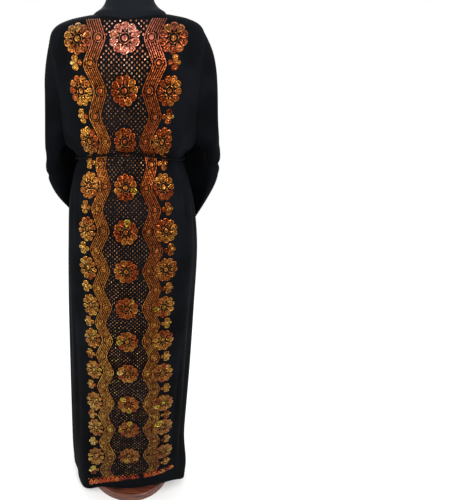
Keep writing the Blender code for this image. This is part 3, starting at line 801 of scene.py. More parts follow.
@dataclass
class PanelMaker:
    """Makes the back and the two fronts as thin shells of cloth."""

    body: RobeBody
    rows: int = 230
    back_columns: int = 150
    front_columns: int = 96
    hem_turn: float = 0.014
    hem_rise: float = 0.0005
    hem_step: float = 0.002
    row_knots: tuple[int, ...] = (0, SHOULDER_TIP, UNDERARM, BELT, HIGH_HIP, HEM)
    row_shares: Values = (0, 0.07, 0.24, 0.4, 0.56, 1.0)

    def grids(self, name: str) -> tuple[Array, Array]:
        """Return a panel's points; its rows lie closer at the shoulders and round the belt.

        Args:
            name: back_panel, front_left or front_right.

        Returns:
            Outer and inner points, rows from neck to hem.
        """
        level = np.interp(np.linspace(0, 1, self.rows), self.row_shares, self.row_knots)[:, None]
        columns = self.back_columns if name == "back_panel" else self.front_columns
        share = np.linspace(0, 1, columns)[None, :]
        start, end = self.body.panel_span(name, level)
        angle = start + (end - start) * share
        outer, normals = self.body.panel_point(name, level, angle)
        turned_up = smooth_step((self.body.hem_height(angle) + self.hem_turn - outer[..., 2]) / self.hem_step)
        raised = outer + normals * (self.hem_rise * turned_up)[..., None]
        return raised, outer - normals * self.body.wall

    def build(self, name: str, cloth: Material) -> Piece:
        """Build one panel."""
        return make_cloth(name, *self.grids(name), ring=False, flip=False, cloth=cloth)


# The sleeves


class Side(Enum):
    """A side of the robe, as its wearer has it."""

    LEFT = 1
    RIGHT = -1


SLEEVE_CREASE_OVER = (
    (-0.187, -0.022, 1.362), (-0.175, -0.078, 1.282), (-0.145, -0.114, 1.2),
    (-0.114, -0.137, 1.122), (-0.085, -0.151, 1.046), (-0.06, -0.161, 0.985),
    (-0.035, -0.168, 0.948),
)
SLEEVE_LAYER_OUTER = (
    (-0.208, 0.038, 1.245), (-0.22, 0.018, 1.188), (-0.222, -0.022, 1.135),
    (-0.209, -0.066, 1.076), (-0.18, -0.11, 1.012), (-0.144, -0.143, 0.95),
    (-0.098, -0.165, 0.886),
)
SLEEVE_CREASE_UNDER = (
    (-0.186, 0.007, 1.138), (-0.199, 0.019, 1.104), (-0.208, 0.016, 1.068),
    (-0.208, 0.0, 1.022), (-0.197, -0.032, 0.97), (-0.174, -0.076, 0.906),
    (-0.142, -0.131, 0.822),
)
SLEEVE_LAYER_INNER = (
    (-0.189, -0.062, 1.238), (-0.18, -0.068, 1.17), (-0.168, -0.072, 1.115),
    (-0.152, -0.078, 1.05), (-0.142, -0.094, 0.992), (-0.124, -0.12, 0.934),
    (-0.088, -0.15, 0.88),
)

SLEEVE_CREASES = tuple(Crease(*row) for row in (
    # ring angle and station: 0 is the over-arm crease, 180 the under-arm crease
    (62, 0.9, 118, 2.3, 11, 0.0042), (40, 1.6, 92, 3.0, 10, 0.0046),
    (150, 1.4, 112, 2.7, 12, 0.0044), (30, 2.9, 74, 4.3, 10, 0.0048),
    (158, 2.6, 104, 3.7, 11, 0.005), (140, 3.4, 84, 4.6, 10, 0.0046),
    (48, 4.2, 66, 6.2, 11, 0.0038), (118, 4.4, 100, 6.6, 12, 0.0042),
    (84, 5.0, 88, 6.9, 8, -0.003), (226, 1.2, 286, 2.6, 12, 0.0034),
    (210, 2.6, 262, 4.0, 12, 0.0038), (300, 3.2, 250, 4.8, 12, 0.0034),
    (236, 4.6, 266, 6.6, 12, 0.0034),
))


@dataclass
class SleeveMaker:
    """Makes one sleeve: a wide tube from its armhole to its cuff.

    A ring is centre + (crease - centre) * cos + (layer - centre) * sin, from the over-arm
    crease round the outer layer to the under-arm crease and back on the inner layer.
    """

    body: RobeBody
    side: Side
    drift: float
    forward: float
    lift: float
    half_ring: int = 56
    rows: int = 110
    fade: float = 2.2
    crease_start: float = 0.6
    body_gap: float = 0.004
    body_wall: float = 0.0015
    hollow: float = 0.012
    below_arm_run: float = 0.04

    @property
    def name(self) -> str:
        """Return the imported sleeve's name."""
        return f"sleeve_{self.side.name.lower()}"

    def armhole(self) -> Array:
        """Return the sleeve's first ring: down the armhole's back edge and up its front one."""
        level = np.linspace(SHOULDER_TIP, UNDERARM, self.half_ring + 1)
        sign = self.side.value
        side = self.body.side_angle(level)
        front = f"front_{self.side.name.lower()}"
        back_edge, _ = self.body.panel_point("back_panel", level, 180 - sign * side)
        front_edge, _ = self.body.panel_point(front, level, sign * side)
        top = (back_edge[0] + front_edge[0]) / 2
        bottom = (back_edge[-1] + front_edge[-1]) / 2
        loop = np.vstack([[top], back_edge[1:-1], [bottom], front_edge[-2:0:-1]])
        return loop + self.body.seam * unit(loop.mean(axis=0) - loop)

    def clear_of_body(self, points: Array, gap: Array) -> Array:
        """Push points that would reach into the robe's body straight out to a gap before it.

        A point's reach is (|x / half_width|^p + |y / depth|^p)^(1/p), and is 1 on the body.

        Args:
            points: Points of the sleeve.
            gap: How far from the body each column stays.

        Returns:
            The points, moved.
        """
        side_down = [-section.side_z for section in SECTIONS]
        half_width, front, back, power, centre_x = (
            np.interp(-points[..., 2], side_down, [getattr(section, name) for section in SECTIONS])
            for name in ("half_width", "front_y", "back_y", "squareness", "centre_x")
        )
        room = gap + self.body_wall
        depth = np.where(points[..., 1] < 0, -front, back) + room
        across = np.abs(points[..., 0] - centre_x) / (half_width + room)
        reach = (across**power + np.abs(points[..., 1] / depth) ** power) ** (1 / power)
        below_arm = smooth_step((SECTIONS[UNDERARM].side_z - points[..., 2]) / self.below_arm_run)
        push = 1 + (1 / np.minimum(reach, 1) - 1) * below_arm
        points[..., 0] = centre_x + (points[..., 0] - centre_x) * push
        points[..., 1] *= push
        return points

    def spines(self, loop: Array, station: Array) -> list[Array]:
        """Return the lines that the rings hang on, from the armhole's ring to the cuff.

        Args:
            loop: The armhole's ring.
            station: Places along the sleeve.

        Returns:
            The over-arm crease, outer layer, under-arm crease and inner layer.
        """
        half = self.half_ring
        tables = (SLEEVE_CREASE_OVER, SLEEVE_LAYER_OUTER, SLEEVE_CREASE_UNDER, SLEEVE_LAYER_INNER)
        starts = (loop[0], loop[half // 2 + 1], loop[half], loop[-(half // 2 + 1)])
        last = len(SLEEVE_CREASE_OVER)
        reach = (np.arange(1, last + 1) / last) ** 2
        hump = np.sin(np.pi * np.arange(1, last + 1) / (last + 1))
        lines = []
        for table, first in zip(tables, starts):
            rows = np.array(table)
            rows[:, 0] *= -self.side.value
            rows -= np.outer(reach, (self.drift, self.forward, 0.0))
            rows[:, 2] += self.lift * hump
            lines.append(catmull_rom(np.vstack([first, rows]), station)[:, None, :])
        return lines

    def grid(self) -> tuple[Array, Array]:
        """Return the sleeve's outer points and normals, rings from armhole to cuff."""
        loop = self.armhole()
        half = self.half_ring
        drop = (loop[0, 2] - loop[: half + 1, 2]) / (loop[0, 2] - loop[half, 2])
        cosine = 1 - 2 * drop
        cosine = np.hstack([cosine, cosine[-2:0:-1]])
        sine = np.sqrt(np.clip(1 - cosine**2, 0, 1))
        on_outer = np.arange(2 * half) <= half
        station = np.linspace(0, len(SLEEVE_CREASE_OVER), self.rows)
        over, outer, under, inner = self.spines(loop, station)
        centre = (over + under) / 2
        layer = np.where(on_outer[None, :, None], outer, inner)
        grid = centre + (over - centre) * cosine[None, :, None]
        grid += (layer - centre) * sine[None, :, None]
        fade = 1 - smooth_step(station / self.fade)[:, None, None]
        grid += fade * (loop - grid[0])[None]
        gap = self.body_gap + on_outer * self.hollow * sine
        grid[1:] = self.clear_of_body(grid[1:], gap[None, :])
        along = (np.roll(grid, -1, axis=1) - np.roll(grid, 1, axis=1)) / 2
        normals = unit(np.cross(np.gradient(grid, axis=0), along)) * self.side.value
        turn = np.degrees(np.arccos(np.clip(cosine, -1, 1)))
        turn = np.where(on_outer, turn, 360 - turn)
        depth = crease_depth(SLEEVE_CREASES, turn[None, :], station[:, None], 360)
        depth = depth * smooth_step(station / self.crease_start)[:, None]
        return grid - normals * depth[..., None], normals

    def build(self, cloth: Material) -> Piece:
        """Build the sleeve as a shell, open at its armhole and its cuff."""
        outer, normals = self.grid()
        inner = outer - normals * self.body.wall
        return make_cloth(self.name, outer, inner, ring=True, flip=self.side is Side.RIGHT, cloth=cloth)


# Where stones go


SPREAD_HEIGHTS = (
    0.193, 0.307, 0.408, 0.524, 0.635, 0.742, 0.852, 0.905, 0.959,
    1.014, 1.069, 1.12, 1.176, 1.23, 1.287, 1.34, 1.394, 1.43,
)
SPREAD = (
    1.07, 1.05, 1.04, 1.0, 0.99, 0.985, 1.02, 1.03, 1.0,
    0.945, 0.885, 0.82, 0.825, 0.91, 0.965, 1.01, 1.03, 1.04,
)
# rows of heights and of what holds there
CENTRE_LINE = ((0.1, 1.4), (-0.01, 0.004))
SLANT = ((0.08, 0.14, 0.2, 0.32, 0.45), (0.18, 0.12, 0.07, 0.03, 0.0))
MORE_SLANT_LEFT = ((0.08, 0.2, 0.32, 0.45), (0.19, 0.1, 0.07, 0.0))
MORE_SLANT_RIGHT = ((0.5, 0.65, 0.9, 1.05), (0.0, 0.05, 0.05, 0.0))


@dataclass
class BackCloth:
    """Places on the back's ornament, given across from its centre line and by height.

    The belt draws the ornament in at the waist, its centre line drifts right towards the
    hem, and its lowest rows slant up to the right.
    """

    body: RobeBody

    def points(self, across: Array, height: Array) -> Array:
        """Return the cloth's points at places on the ornament.

        A place's x is centre line + across * spread, and it lies across * slant lower.
        """
        slant = np.interp(height, *SLANT) + (across > 0) * np.interp(height, *MORE_SLANT_LEFT)
        slant = slant + (across < 0) * np.interp(height, *MORE_SLANT_RIGHT)
        x = np.interp(height, *CENTRE_LINE) + across * np.interp(height, SPREAD_HEIGHTS, SPREAD)
        level, angle = self.body.at_place(x, height - across * slant, back=True)
        return self.body.panel_point("back_panel", level, angle)[0]


@dataclass
class StripCloth:
    """Places on a strip of cloth, given along it and across it in metres on the cloth.

    The strip is a grid of points; lengths along its first column and along each row are
    worked out from the grid, and places are read between its points.
    """

    grid: Array

    def __post_init__(self) -> None:
        """Work out the lengths along and across the strip."""
        self.along = run_lengths(self.grid[:, 0])
        steps = np.linalg.norm(np.diff(self.grid, axis=1), axis=2)
        self.across = np.hstack([np.zeros((len(self.grid), 1)), np.cumsum(steps, axis=1)])

    @property
    def length(self) -> float:
        """Return the strip's length."""
        return float(self.along[-1])

    def points(self, across: Array, along: Array) -> Array:
        """Return the cloth's points at places on the strip, on a line between its rows."""
        row = np.interp(along, self.along, np.arange(len(self.along)))
        first = np.clip(row.astype(int), 0, len(self.along) - 2)
        share = (row - first)[:, None]
        return self.row_points(first, across) * (1 - share) + self.row_points(first + 1, across) * share

    def row_points(self, rows: Array, across: Array) -> Array:
        """Return points in rows of the grid, on a line between its columns."""
        lengths = self.across[rows]
        column = np.clip((lengths < across[:, None]).sum(axis=1) - 1, 0, lengths.shape[1] - 2)
        take = np.arange(len(rows))
        low, high = lengths[take, column], lengths[take, column + 1]
        share = ((across - low) / np.maximum(high - low, 1e-9))[:, None]
        return self.grid[rows, column] * (1 - share) + self.grid[rows, column + 1] * share


# Stones


Outline = tuple[tuple[float, float], ...]
NEAR = 0.0008  # how far apart places are read to find how the cloth lies
TONE_LIGHT = 0.9  # how much a ring's painted highlight or shade lightens or darkens it
PETAL_HALF_WIDTH = (
    # places up the petal, and its half width there
    (0, 0.1, 0.28, 0.46, 0.62, 0.78, 0.9, 0.97, 1),
    (0.06, 0.15, 0.31, 0.44, 0.495, 0.48, 0.38, 0.23, 0.0),
)


@dataclass(frozen=True)
class StudShape:
    """A stud's form: its outline, and the rings that it is lofted through.

    Each ring is the outline scaled, and lifted by a share of the stud's height. The tone
    is painted light: how much lighter (painted highlight) or darker (painted shade) than the
    stud the ring is.
    """

    outline: Outline
    rings: tuple[Triple, ...]  # scale, lift, tone (painted highlight or shade)
    centre: Triple = (0.0, 1.0, 0.0)  # place up the outline, lift, tone (painted highlight or shade)
    follows_cloth: bool = False  # whether it bends with the cloth under it

    def template(self) -> tuple[Array, Array, Array]:
        """Return the stud's points (across, up, lift), their painted highlight and shade tones and its
        triangles.
        """
        count = len(self.outline)
        up, top_lift, top_tone = self.centre
        middle = np.array([0.0, up])
        scale, lift, tone = (np.repeat(column, count) for column in np.array(self.rings).T)
        flat = middle + (np.tile(self.outline, (len(self.rings), 1)) - middle) * scale[:, None]
        ends = [[0.0, up, top_lift], [0.0, up, self.rings[0][1]]]
        here = np.arange(count)
        after = (here + 1) % count
        last = (len(self.rings) - 1) * count
        top = np.full(count, last + count)
        faces = [(last + here, last + after, top), (after, here, top + 1)]
        for low in range(0, last, count):
            high = low + count
            faces += [(low + here, low + after, high + after), (low + here, high + after, high + here)]
        points = np.vstack([np.column_stack([flat, lift]), ends])
        triangles = np.vstack([np.column_stack(face) for face in faces])
        return points, np.hstack([tone, [top_tone, 0.0]]), triangles


def round_outline(count: int) -> Outline:
    """Return a circle of diameter 1, anticlockwise."""
    return tuple(zip(0.5 * np.cos(full_turn(count)), 0.5 * np.sin(full_turn(count))))


def petal_outline(count: int) -> Outline:
    """Return a petal from its foot at 0 to its tip at 1: a round lobe that narrows to a foot."""
    turns = full_turn(count) - np.pi / 2
    up = 0.5 + 0.5 * np.sin(turns)
    return tuple(zip(np.interp(up, *PETAL_HALF_WIDTH) * np.sign(np.cos(turns).round(6)), up))


SQUARE = ((0.5, -0.5), (0.5, 0.5), (-0.5, 0.5), (-0.5, -0.5))
# ring tones are painted light: lighter crowns and rims are painted highlights, darker base edges painted
# shade; the petals' darker middles are partly their own marks, partly painted shade
BAR = StudShape(SQUARE, ((1.0, -0.2, -0.2), (0.9, 0.5, 0.0), (0.5, 1.0, 0.15)), (0.0, 1.0, 0.1))
LINE = StudShape(SQUARE, ((1.0, -0.2, -0.85), (0.66, 0.7, -0.75), (0.46, 1.0, 0.2)), (0.0, 1.0, 0.35))
BEAD = StudShape(round_outline(8), ((1.0, -0.2, -0.1), (0.9, 0.5, 0.0), (0.5, 0.95, 0.15)), (0.0, 1.0, 0.2))
PETAL = StudShape(
    petal_outline(18),
    ((1.0, -0.1, -0.65), (0.94, 0.75, 0.3), (0.74, 1.0, 0.6), (0.62, 0.62, -0.45), (0.32, 0.5, -0.3)),
    (0.6, 0.75, 0.05),
    True,
)
DISC = StudShape(
    round_outline(14), ((1.0, -0.1, -0.1), (0.9, 0.6, 0.1), (0.6, 1.0, 0.1)), (0.0, 0.8, -0.1), True
)


@dataclass(frozen=True)
class Palette:
    """The stones' colours: bronze, copper, gold and pale gold, with a painted pink highlight high up in the
    middle.
    """

    bronze: str = "#4a2010"
    copper: str = "#a8542a"
    gold: str = "#d39a44"
    pale: str = "#f6dc86"
    pink: str = "#ff9c8e"
    green: str = "#b8a83c"
    green_share: float = 0.6
    facing: int = 1
    tip: float = 0.1
    spread: float = 0.15
    # wider random tones low down, as painted glints
    low_painted_glint_spread: float = 1.2
    low_spread_z: float = 0.8
    low_spread_run: float = 0.35
    # a painted pink highlight on the stones high up in the middle
    painted_highlight_z: float = 1.405
    painted_highlight_run: float = 0.085
    painted_highlight_most: float = 0.85
    middle_width: float = 0.075
    # painted light: stones are painted darker low down, lighter high up in the middle and to one side
    light_heights: Values = (0.2, 0.5, 1.0, 1.3, 1.38)
    light: Values = (0.5, 0.6, 0.7, 0.8, 0.96)
    high_middle_light: float = 0.75
    high_painted_shade: float = 0.28
    side_light: float = 0.1
    side_width: float = 0.09
    odd_share: float = 0.0
    # painted yellow-green glints: more odd green studs low down
    low_painted_glints: float = 0.08
    painted_glints_z: float = 0.7
    # painted light gain: brightens a whole palette
    painted_light_gain: float = 1.0

    def tones(self, tone: Array, place: Array, rng: np.random.Generator) -> Array:
        """Return tones spread at random about the given ones, more widely low down as painted glints."""
        low = smooth_step((self.low_spread_z - place[:, 2]) / self.low_spread_run)
        return tone + rng.normal(0, self.spread, len(tone)) * (1 + self.low_painted_glint_spread * low)

    def colours(self, tone: Array, place: Array, rng: np.random.Generator) -> Array:
        """Return linear colours for studs.

        A colour is read between the four at its tone, mixed with a painted pink highlight in the middle high
        up, and scaled by the painted light that falls there. A few odd ones are mixed with green, more of
        them low down as painted yellow-green glints.

        Args:
            tone: 0 dark to 1 pale.
            place: The studs' places.
            rng: Draws the few odd ones.

        Returns:
            One colour a stud.
        """
        stops = np.array([linear(c)[:3] for c in (self.bronze, self.copper, self.gold, self.pale)])
        level = np.clip(tone, 0, 1) * 3
        colour = np.stack([np.interp(level, range(4), stops[:, c]) for c in range(3)], axis=-1)
        # painted pink highlight, high up in the middle
        high = smooth_step((place[:, 2] - self.painted_highlight_z + self.painted_highlight_run) / self.painted_highlight_run)
        middle = np.exp(-((place[:, 0] / self.middle_width) ** 2))
        share = (self.painted_highlight_most * high * middle * rng.uniform(0.5, 1, len(tone)))[:, None]
        colour = colour * (1 - share) + np.array(linear(self.pink)[:3]) * share
        # painted light: darker low down, lighter high up in the middle and to one side
        light = np.interp(place[:, 2], self.light_heights, self.light)
        light = light + high * (self.high_middle_light * middle - self.high_painted_shade)
        light = light * (1 + self.side_light * np.clip(place[:, 0] / self.side_width, -1, 1))
        colour = colour * self.painted_light_gain * light[:, None]
        # a few odd green studs, more of them low down as painted yellow-green glints
        odd = rng.uniform(0, 1, len(tone)) < self.odd_share + self.low_painted_glints * (place[:, 2] < self.painted_glints_z)
        green = np.array(linear(self.green)[:3]) * self.green_share
        colour[odd] = colour[odd] * (1 - self.green_share) + green
        return colour


@dataclass
class Studs:
    """A set of studs that lie on one cloth: their places, turns, sizes and tones."""

    cloth: BackCloth | StripCloth
    rows: dict[StudShape, list[Array]] = field(default_factory=dict)

    def add(
        self, shape: StudShape, across: Array, along: Array, turn: Array, size: tuple, tone: Array
    ) -> None:
        """Add studs of one shape."""
        values = np.broadcast_arrays(*(np.atleast_1d(v) for v in (across, along, turn, *size, tone)))
        self.rows.setdefault(shape, []).append(np.column_stack(values).astype(float))

    def add_ring(self, place: tuple, reach: tuple, count: int, size: tuple, tone: float) -> None:
        """Add bars round an oval: at x - wide sin and z + tall cos, each turned along it."""
        around = full_turn(count)
        across = place[0] - reach[0] * np.sin(around)
        self.add(BAR, across, place[1] + reach[1] * np.cos(around), around + np.pi / 2, size, tone)

    def build(self, name: str, finish: Material, palette: Palette) -> Piece:
        """Set every stud on the cloth and join them in one piece.

        A stud's point is its place + right * x + up * y + out * z, turned in the cloth's own
        plane, and each stud is tipped a little so that they catch the light unevenly.

        Args:
            name: The piece's name.
            finish: The stones' material.
            palette: Gives each stud its colour.

        Returns:
            The piece.
        """
        rng = np.random.default_rng(SEED + sum(map(ord, name)))
        points, colours, faces, first = [], [], [], 0
        for shape, blocks in self.rows.items():
            shape_points, ring_painted_light, shape_faces = shape.template()
            across, along, turn, width, length, height, tone = np.vstack(blocks).T
            place = self.cloth.points(across, along)
            right = unit(self.cloth.points(across + NEAR, along) - self.cloth.points(across - NEAR, along))
            up = unit(self.cloth.points(across, along + NEAR) - self.cloth.points(across, along - NEAR))
            out = unit(np.cross(right, up)) * palette.facing
            tip = rng.normal(0, palette.tip, (len(across), 2))
            right = unit(right + out * tip[:, :1])
            up = unit(up + out * tip[:, 1:])
            cosine, sine = np.cos(turn)[:, None], np.sin(turn)[:, None]
            flat_x = width[:, None] * shape_points[:, 0]
            flat_y = length[:, None] * shape_points[:, 1]
            turned_x = flat_x * cosine - flat_y * sine
            turned_y = flat_x * sine + flat_y * cosine
            if shape.follows_cloth:
                where = (across[:, None] + turned_x).ravel(), (along[:, None] + turned_y).ravel()
                block = self.cloth.points(*where).reshape(*turned_x.shape, 3)
            else:
                block = place[:, None] + right[:, None] * turned_x[..., None]
                block += up[:, None] * turned_y[..., None]
            block += out[:, None] * (height[:, None] * shape_points[:, 2])[..., None]
            colour = palette.colours(palette.tones(tone, place, rng), place, rng)
            # painted highlights and shade on each stud's rings
            lift = 1 + TONE_LIGHT * ring_painted_light
            colours.append((colour[:, None, :] * lift[None, :, None]).reshape(-1, 3))
            points.append(block.reshape(-1, 3))
            starts = first + np.arange(len(across)) * len(shape_points)
            faces.append((starts[:, None, None] + shape_faces[None]).reshape(-1, 3))
            first += len(across) * len(shape_points)
        triangles = np.vstack(faces)
        if palette.facing < 0:
            triangles = triangles[:, ::-1]
        piece = make_piece(name, np.vstack(points), [triangles], finish, smooth=False)
        rgba = np.column_stack([np.clip(np.vstack(colours), 0, 1), np.ones(first)])
        attribute = piece.data.attributes.new("stone_colour", "FLOAT_COLOR", "POINT")
        attribute.data.foreach_set("color", rgba.astype(np.float32).ravel())
        return piece


BUD_PETALS = (
    # turn, width, length, and how much lighter than the bud
    (0.25, 0.016, 0.0168, 0.02),
    (2.9, 0.016, 0.0168, 0.08),
    (1.57, 0.0095, 0.015, 0.18),
    (-1.57, 0.012, 0.014, -0.04),
)


@dataclass(frozen=True)
class Rosette:
    """A rosette's make-up: petals round a ring of bars with a disc in it.

    Sizes are shares of its half width or half height, and heights off the cloth are metres.
    """

    petals: int = 10
    petal_foot: float = 0.37
    petal_width: float = 0.54
    ring_bars: int = 16
    ring_reach: float = 0.325
    bar_width: float = 0.002
    bar_length: float = 0.135
    bar_height: float = 0.0015
    bar_lift: float = 0.16
    disc_size: float = 0.4
    disc_lift: float = 0.06
    height: float = 0.002


@dataclass
class BackOrnament:
    """The back's ornament: rosettes, buds, waving bands and a field of beads.

    Its places are given across from the centre line and by height, before the cloth's own
    spread and slant. Left is the wearer's left.
    """

    body: RobeBody
    rosette: Rosette = Rosette()
    row_heights: Values = (
        1.394, 1.287, 1.176, 1.069, 0.959, 0.852, 0.742, 0.635, 0.524, 0.408, 0.307, 0.193,
    )
    row_step: float = 0.11
    radius_across: float = 0.0318
    radius_up: float = 0.034
    top_centre_wide: float = 1.06
    top_side_wide: float = 1.1
    side_offset: float = 0.103
    side_wide: float = 0.9
    side_tall: float = 0.99
    low_row: int = 4  # from here down the side rosettes lie closer, and the left ones are narrower
    low_shift: float = 0.003
    low_left_wide: float = 0.84
    centre_spin: float = 0.2
    side_spin: float = 0.33
    centre_swing: float = 0.04
    side_swing: float = 0.1
    centre_loss: float = 0.07
    tone_lifts: Values = (0.38, 0.14, 0.1, 0.07)  # in the middle, then more low, outside and left
    low_from_z: float = 1.25
    low_run: float = 0.7
    outer_from: float = 0.085
    outer_run: float = 0.04
    side_run: float = 0.09
    band_middle: float = 0.066
    band_swing: float = 0.0095
    band_sharpness: float = 0.93
    band_lines: Values = (-0.0144, -0.0096, -0.0048, 0.0, 0.0048, 0.0096, 0.0144)
    parted_lines: tuple[float, float] = (0.008, 0.012)  # lines this far out bend round the rings
    part: float = 0.0022
    part_reach: float = 0.0105
    line_size: Triple = (0.0033, 0.01, 0.0013)
    line_pitch: float = 0.004
    ring_radius: float = 0.0088
    ring_gap: float = 0.0028
    ring_lift: float = 0.002  # the highest ring sits this much higher, and the next one twice that
    ring_bars: int = 18
    ring_bar: Triple = (0.0025, 0.0034, 0.0014)
    ring_disc: Triple = (0.0116, 0.012, 0.0019)
    bead_row: float = 0.0056
    bead_pitch: float = 0.0112
    bead_size: Triple = (0.0036, 0.0048, 0.0014)
    bead_growth: float = 0.25  # how much larger the highest beads are
    bead_high_z: float = 1.2
    bead_high_run: float = 0.2
    bead_tones: Triple = (0.26, 0.34, 0.12)  # low down, more high up, and in patches
    bead_gap: float = 0.0042
    rosette_gap: float = 0.0022
    last_step: float = 0.107  # from the lowest row to where the next one would be
    bud_offset: float = 0.107
    bud_lift: float = 0.001
    top_bud_lift: float = 0.004
    bud_disc: Triple = (0.0062, 0.0066, 0.0024)
    petal_height: float = 0.0021
    top_z: float = 1.43
    border_z: float = 0.082
    border_height: float = 0.023
    border_reach: float = 0.126
    border_pitch: float = 0.0128
    drop_width: float = 0.014
    border_break: float = -0.036  # where one drop is missing
    border_bead: Triple = (0.0046, 0.0052, 0.0018)

    @property
    def bottom(self) -> float:
        """Return how low the ornament reaches: the top of its border."""
        return self.border_z + self.border_height

    def no_studs(self) -> Studs:
        """Return an empty set of studs on the back's cloth."""
        return Studs(BackCloth(self.body))

    def phase(self, height: Array) -> Array:
        """Return the row number at a height, with fractions, running on past both ends."""
        rows = [self.row_heights[0] + self.row_step, *self.row_heights, self.row_heights[-1] - self.row_step]
        return np.interp(-np.asarray(height), -np.array(rows), np.arange(len(rows)) - 1.0)

    def band_offset(self, height: Array) -> Array:
        """Return the bands' distance from the centre line: in at each row and out between.

        A cosine sharpened into straight slants with round turns: asin(0.93 cos) / asin(0.93).
        """
        turn = np.cos(2 * np.pi * self.phase(height))
        wave = np.arcsin(self.band_sharpness * turn) / math.asin(self.band_sharpness)
        return self.band_middle - self.band_swing * wave

    def tone(self, across: Array, height: Array) -> Array:
        """Return how pale the studs are: copper high up and in the middle, gold low and outside."""
        low = smooth_step((self.low_from_z - np.asarray(height)) / self.low_run)
        outer = smooth_step((np.abs(across) - self.outer_from) / self.outer_run)
        side = np.clip(np.asarray(across) / self.side_run, -1, 1)
        middle_tone, low_lift, outer_lift, side_lift = self.tone_lifts
        return middle_tone + low_lift * low + outer_lift * outer + side_lift * side

    def rings(self) -> Array:
        """Return the ring motifs' heights and distances from the centre line."""
        rows = np.arange(2 * len(self.row_heights)) / 2
        heights = np.interp(rows, np.arange(len(self.row_heights)), self.row_heights)
        heights = heights + self.ring_lift * (rows < 1) + self.ring_lift * (rows == 0.5)
        return np.column_stack([heights, self.band_offset(heights)])

    def add_rosette(self, studs: Studs, x: float, z: float, wide: float, tall: float, spin: float) -> None:
        """Add one rosette.

        Petal n stands at (-wide sin, tall cos) of spin + its share of a turn, and aims outwards.

        Args:
            studs: Where it is added.
            x: Its place across.
            z: Its height.
            wide: Its half width.
            tall: Its half height.
            spin: How far it is turned.
        """
        make = self.rosette
        turns = spin + full_turn(make.petals)
        petal_x, petal_z = -wide * np.sin(turns), tall * np.cos(turns)
        swing = (self.side_swing if x else self.centre_swing) * (1.0 if z > 1.0 else 0.5)
        shade = self.tone(x + 0.8 * petal_x, z) + swing * np.cos(turns + x * 60 + z * 23)
        shade = shade - (0.0 if x else self.centre_loss)
        size = (make.petal_width * wide, (1 - make.petal_foot) * np.hypot(petal_x, petal_z), make.height)
        across, along = x + make.petal_foot * petal_x, z + make.petal_foot * petal_z
        studs.add(PETAL, across, along, np.arctan2(-petal_x, petal_z), size, shade)
        reach = (make.ring_reach * wide, make.ring_reach * tall)
        size = (make.bar_width, make.bar_length * tall, make.bar_height)
        studs.add_ring((x, z), reach, make.ring_bars, size, shade.mean() + make.bar_lift)
        size = (make.disc_size * wide, make.disc_size * tall, make.height)
        studs.add(DISC, x, z, 0.0, size, shade.mean() + make.disc_lift)

    def rosettes(self) -> Studs:
        """Place the centre and side rosettes of every row."""
        studs = self.no_studs()
        for row, z in enumerate(self.row_heights):
            wide = self.radius_across * (1 if row else self.top_centre_wide)
            self.add_rosette(studs, 0.0, z, wide, self.radius_up, self.centre_spin * row)
            is_low = row >= self.low_row
            for side in Side:
                wide = self.radius_across * self.side_wide * (1 if row else self.top_side_wide)
                wide *= self.low_left_wide if is_low and side is Side.LEFT else 1.0
                x = side.value * (self.side_offset - (self.low_shift if is_low else 0.0))
                self.add_rosette(studs, x, z, wide, self.side_tall * self.radius_up, self.side_spin * row)
        return studs

    def buds(self) -> Studs:
        """Place a bud of four petals round a disc between each two side rosettes."""
        studs = self.no_studs()
        rows = np.array([*self.row_heights, self.row_heights[-1] - self.last_step])
        for middle in (rows[:-1] + rows[1:]) / 2:
            for side in Side:
                x = side.value * self.bud_offset
                z = middle + self.bud_lift + self.top_bud_lift * (middle > self.row_heights[1])
                tone = float(self.tone(x, z)) + 0.04
                for turn, wide, tall, lift in BUD_PETALS:
                    studs.add(PETAL, x, z, -side.value * turn, (wide, tall, self.petal_height), tone + lift)
                studs.add(DISC, x, z, 0.0, self.bud_disc, tone - 0.1)
        return studs

    def waves(self) -> Studs:
        """Run the parallel lines of both bands, parted round the ring motifs."""
        studs = self.no_studs()
        rings = self.rings()
        height = np.arange(self.bottom, self.top_z + 0.004, self.line_pitch)
        near = np.abs(height[:, None] - rings[None, :, 0]).min(axis=1)
        least, most = self.parted_lines
        for side in Side:
            for number, line in enumerate(self.band_lines):
                keep = np.hypot(near, line) > self.ring_radius + self.ring_gap
                z = height[keep]
                part = self.part * np.exp(-((near[keep] / self.part_reach) ** 2)) * (least < abs(line) < most)
                x = side.value * (self.band_offset(z) + line + np.sign(line) * part)
                slope = side.value * (self.band_offset(z + 0.001) - self.band_offset(z - 0.001))
                tone = self.tone(x, z) + 0.05 * np.cos(number * 2.4 + z * 9) - 0.03
                studs.add(LINE, x, z, -np.arctan2(slope, 0.002), self.line_size, tone)
            for z, offset in rings[rings[:, 0] - self.ring_radius >= self.bottom]:
                x = side.value * offset
                tone = float(self.tone(x, z))
                reach = (self.ring_radius, self.ring_radius)
                studs.add_ring((x, z), reach, self.ring_bars, self.ring_bar, tone + 0.05)
                studs.add(DISC, x, z, 0.0, self.ring_disc, tone)
        return studs

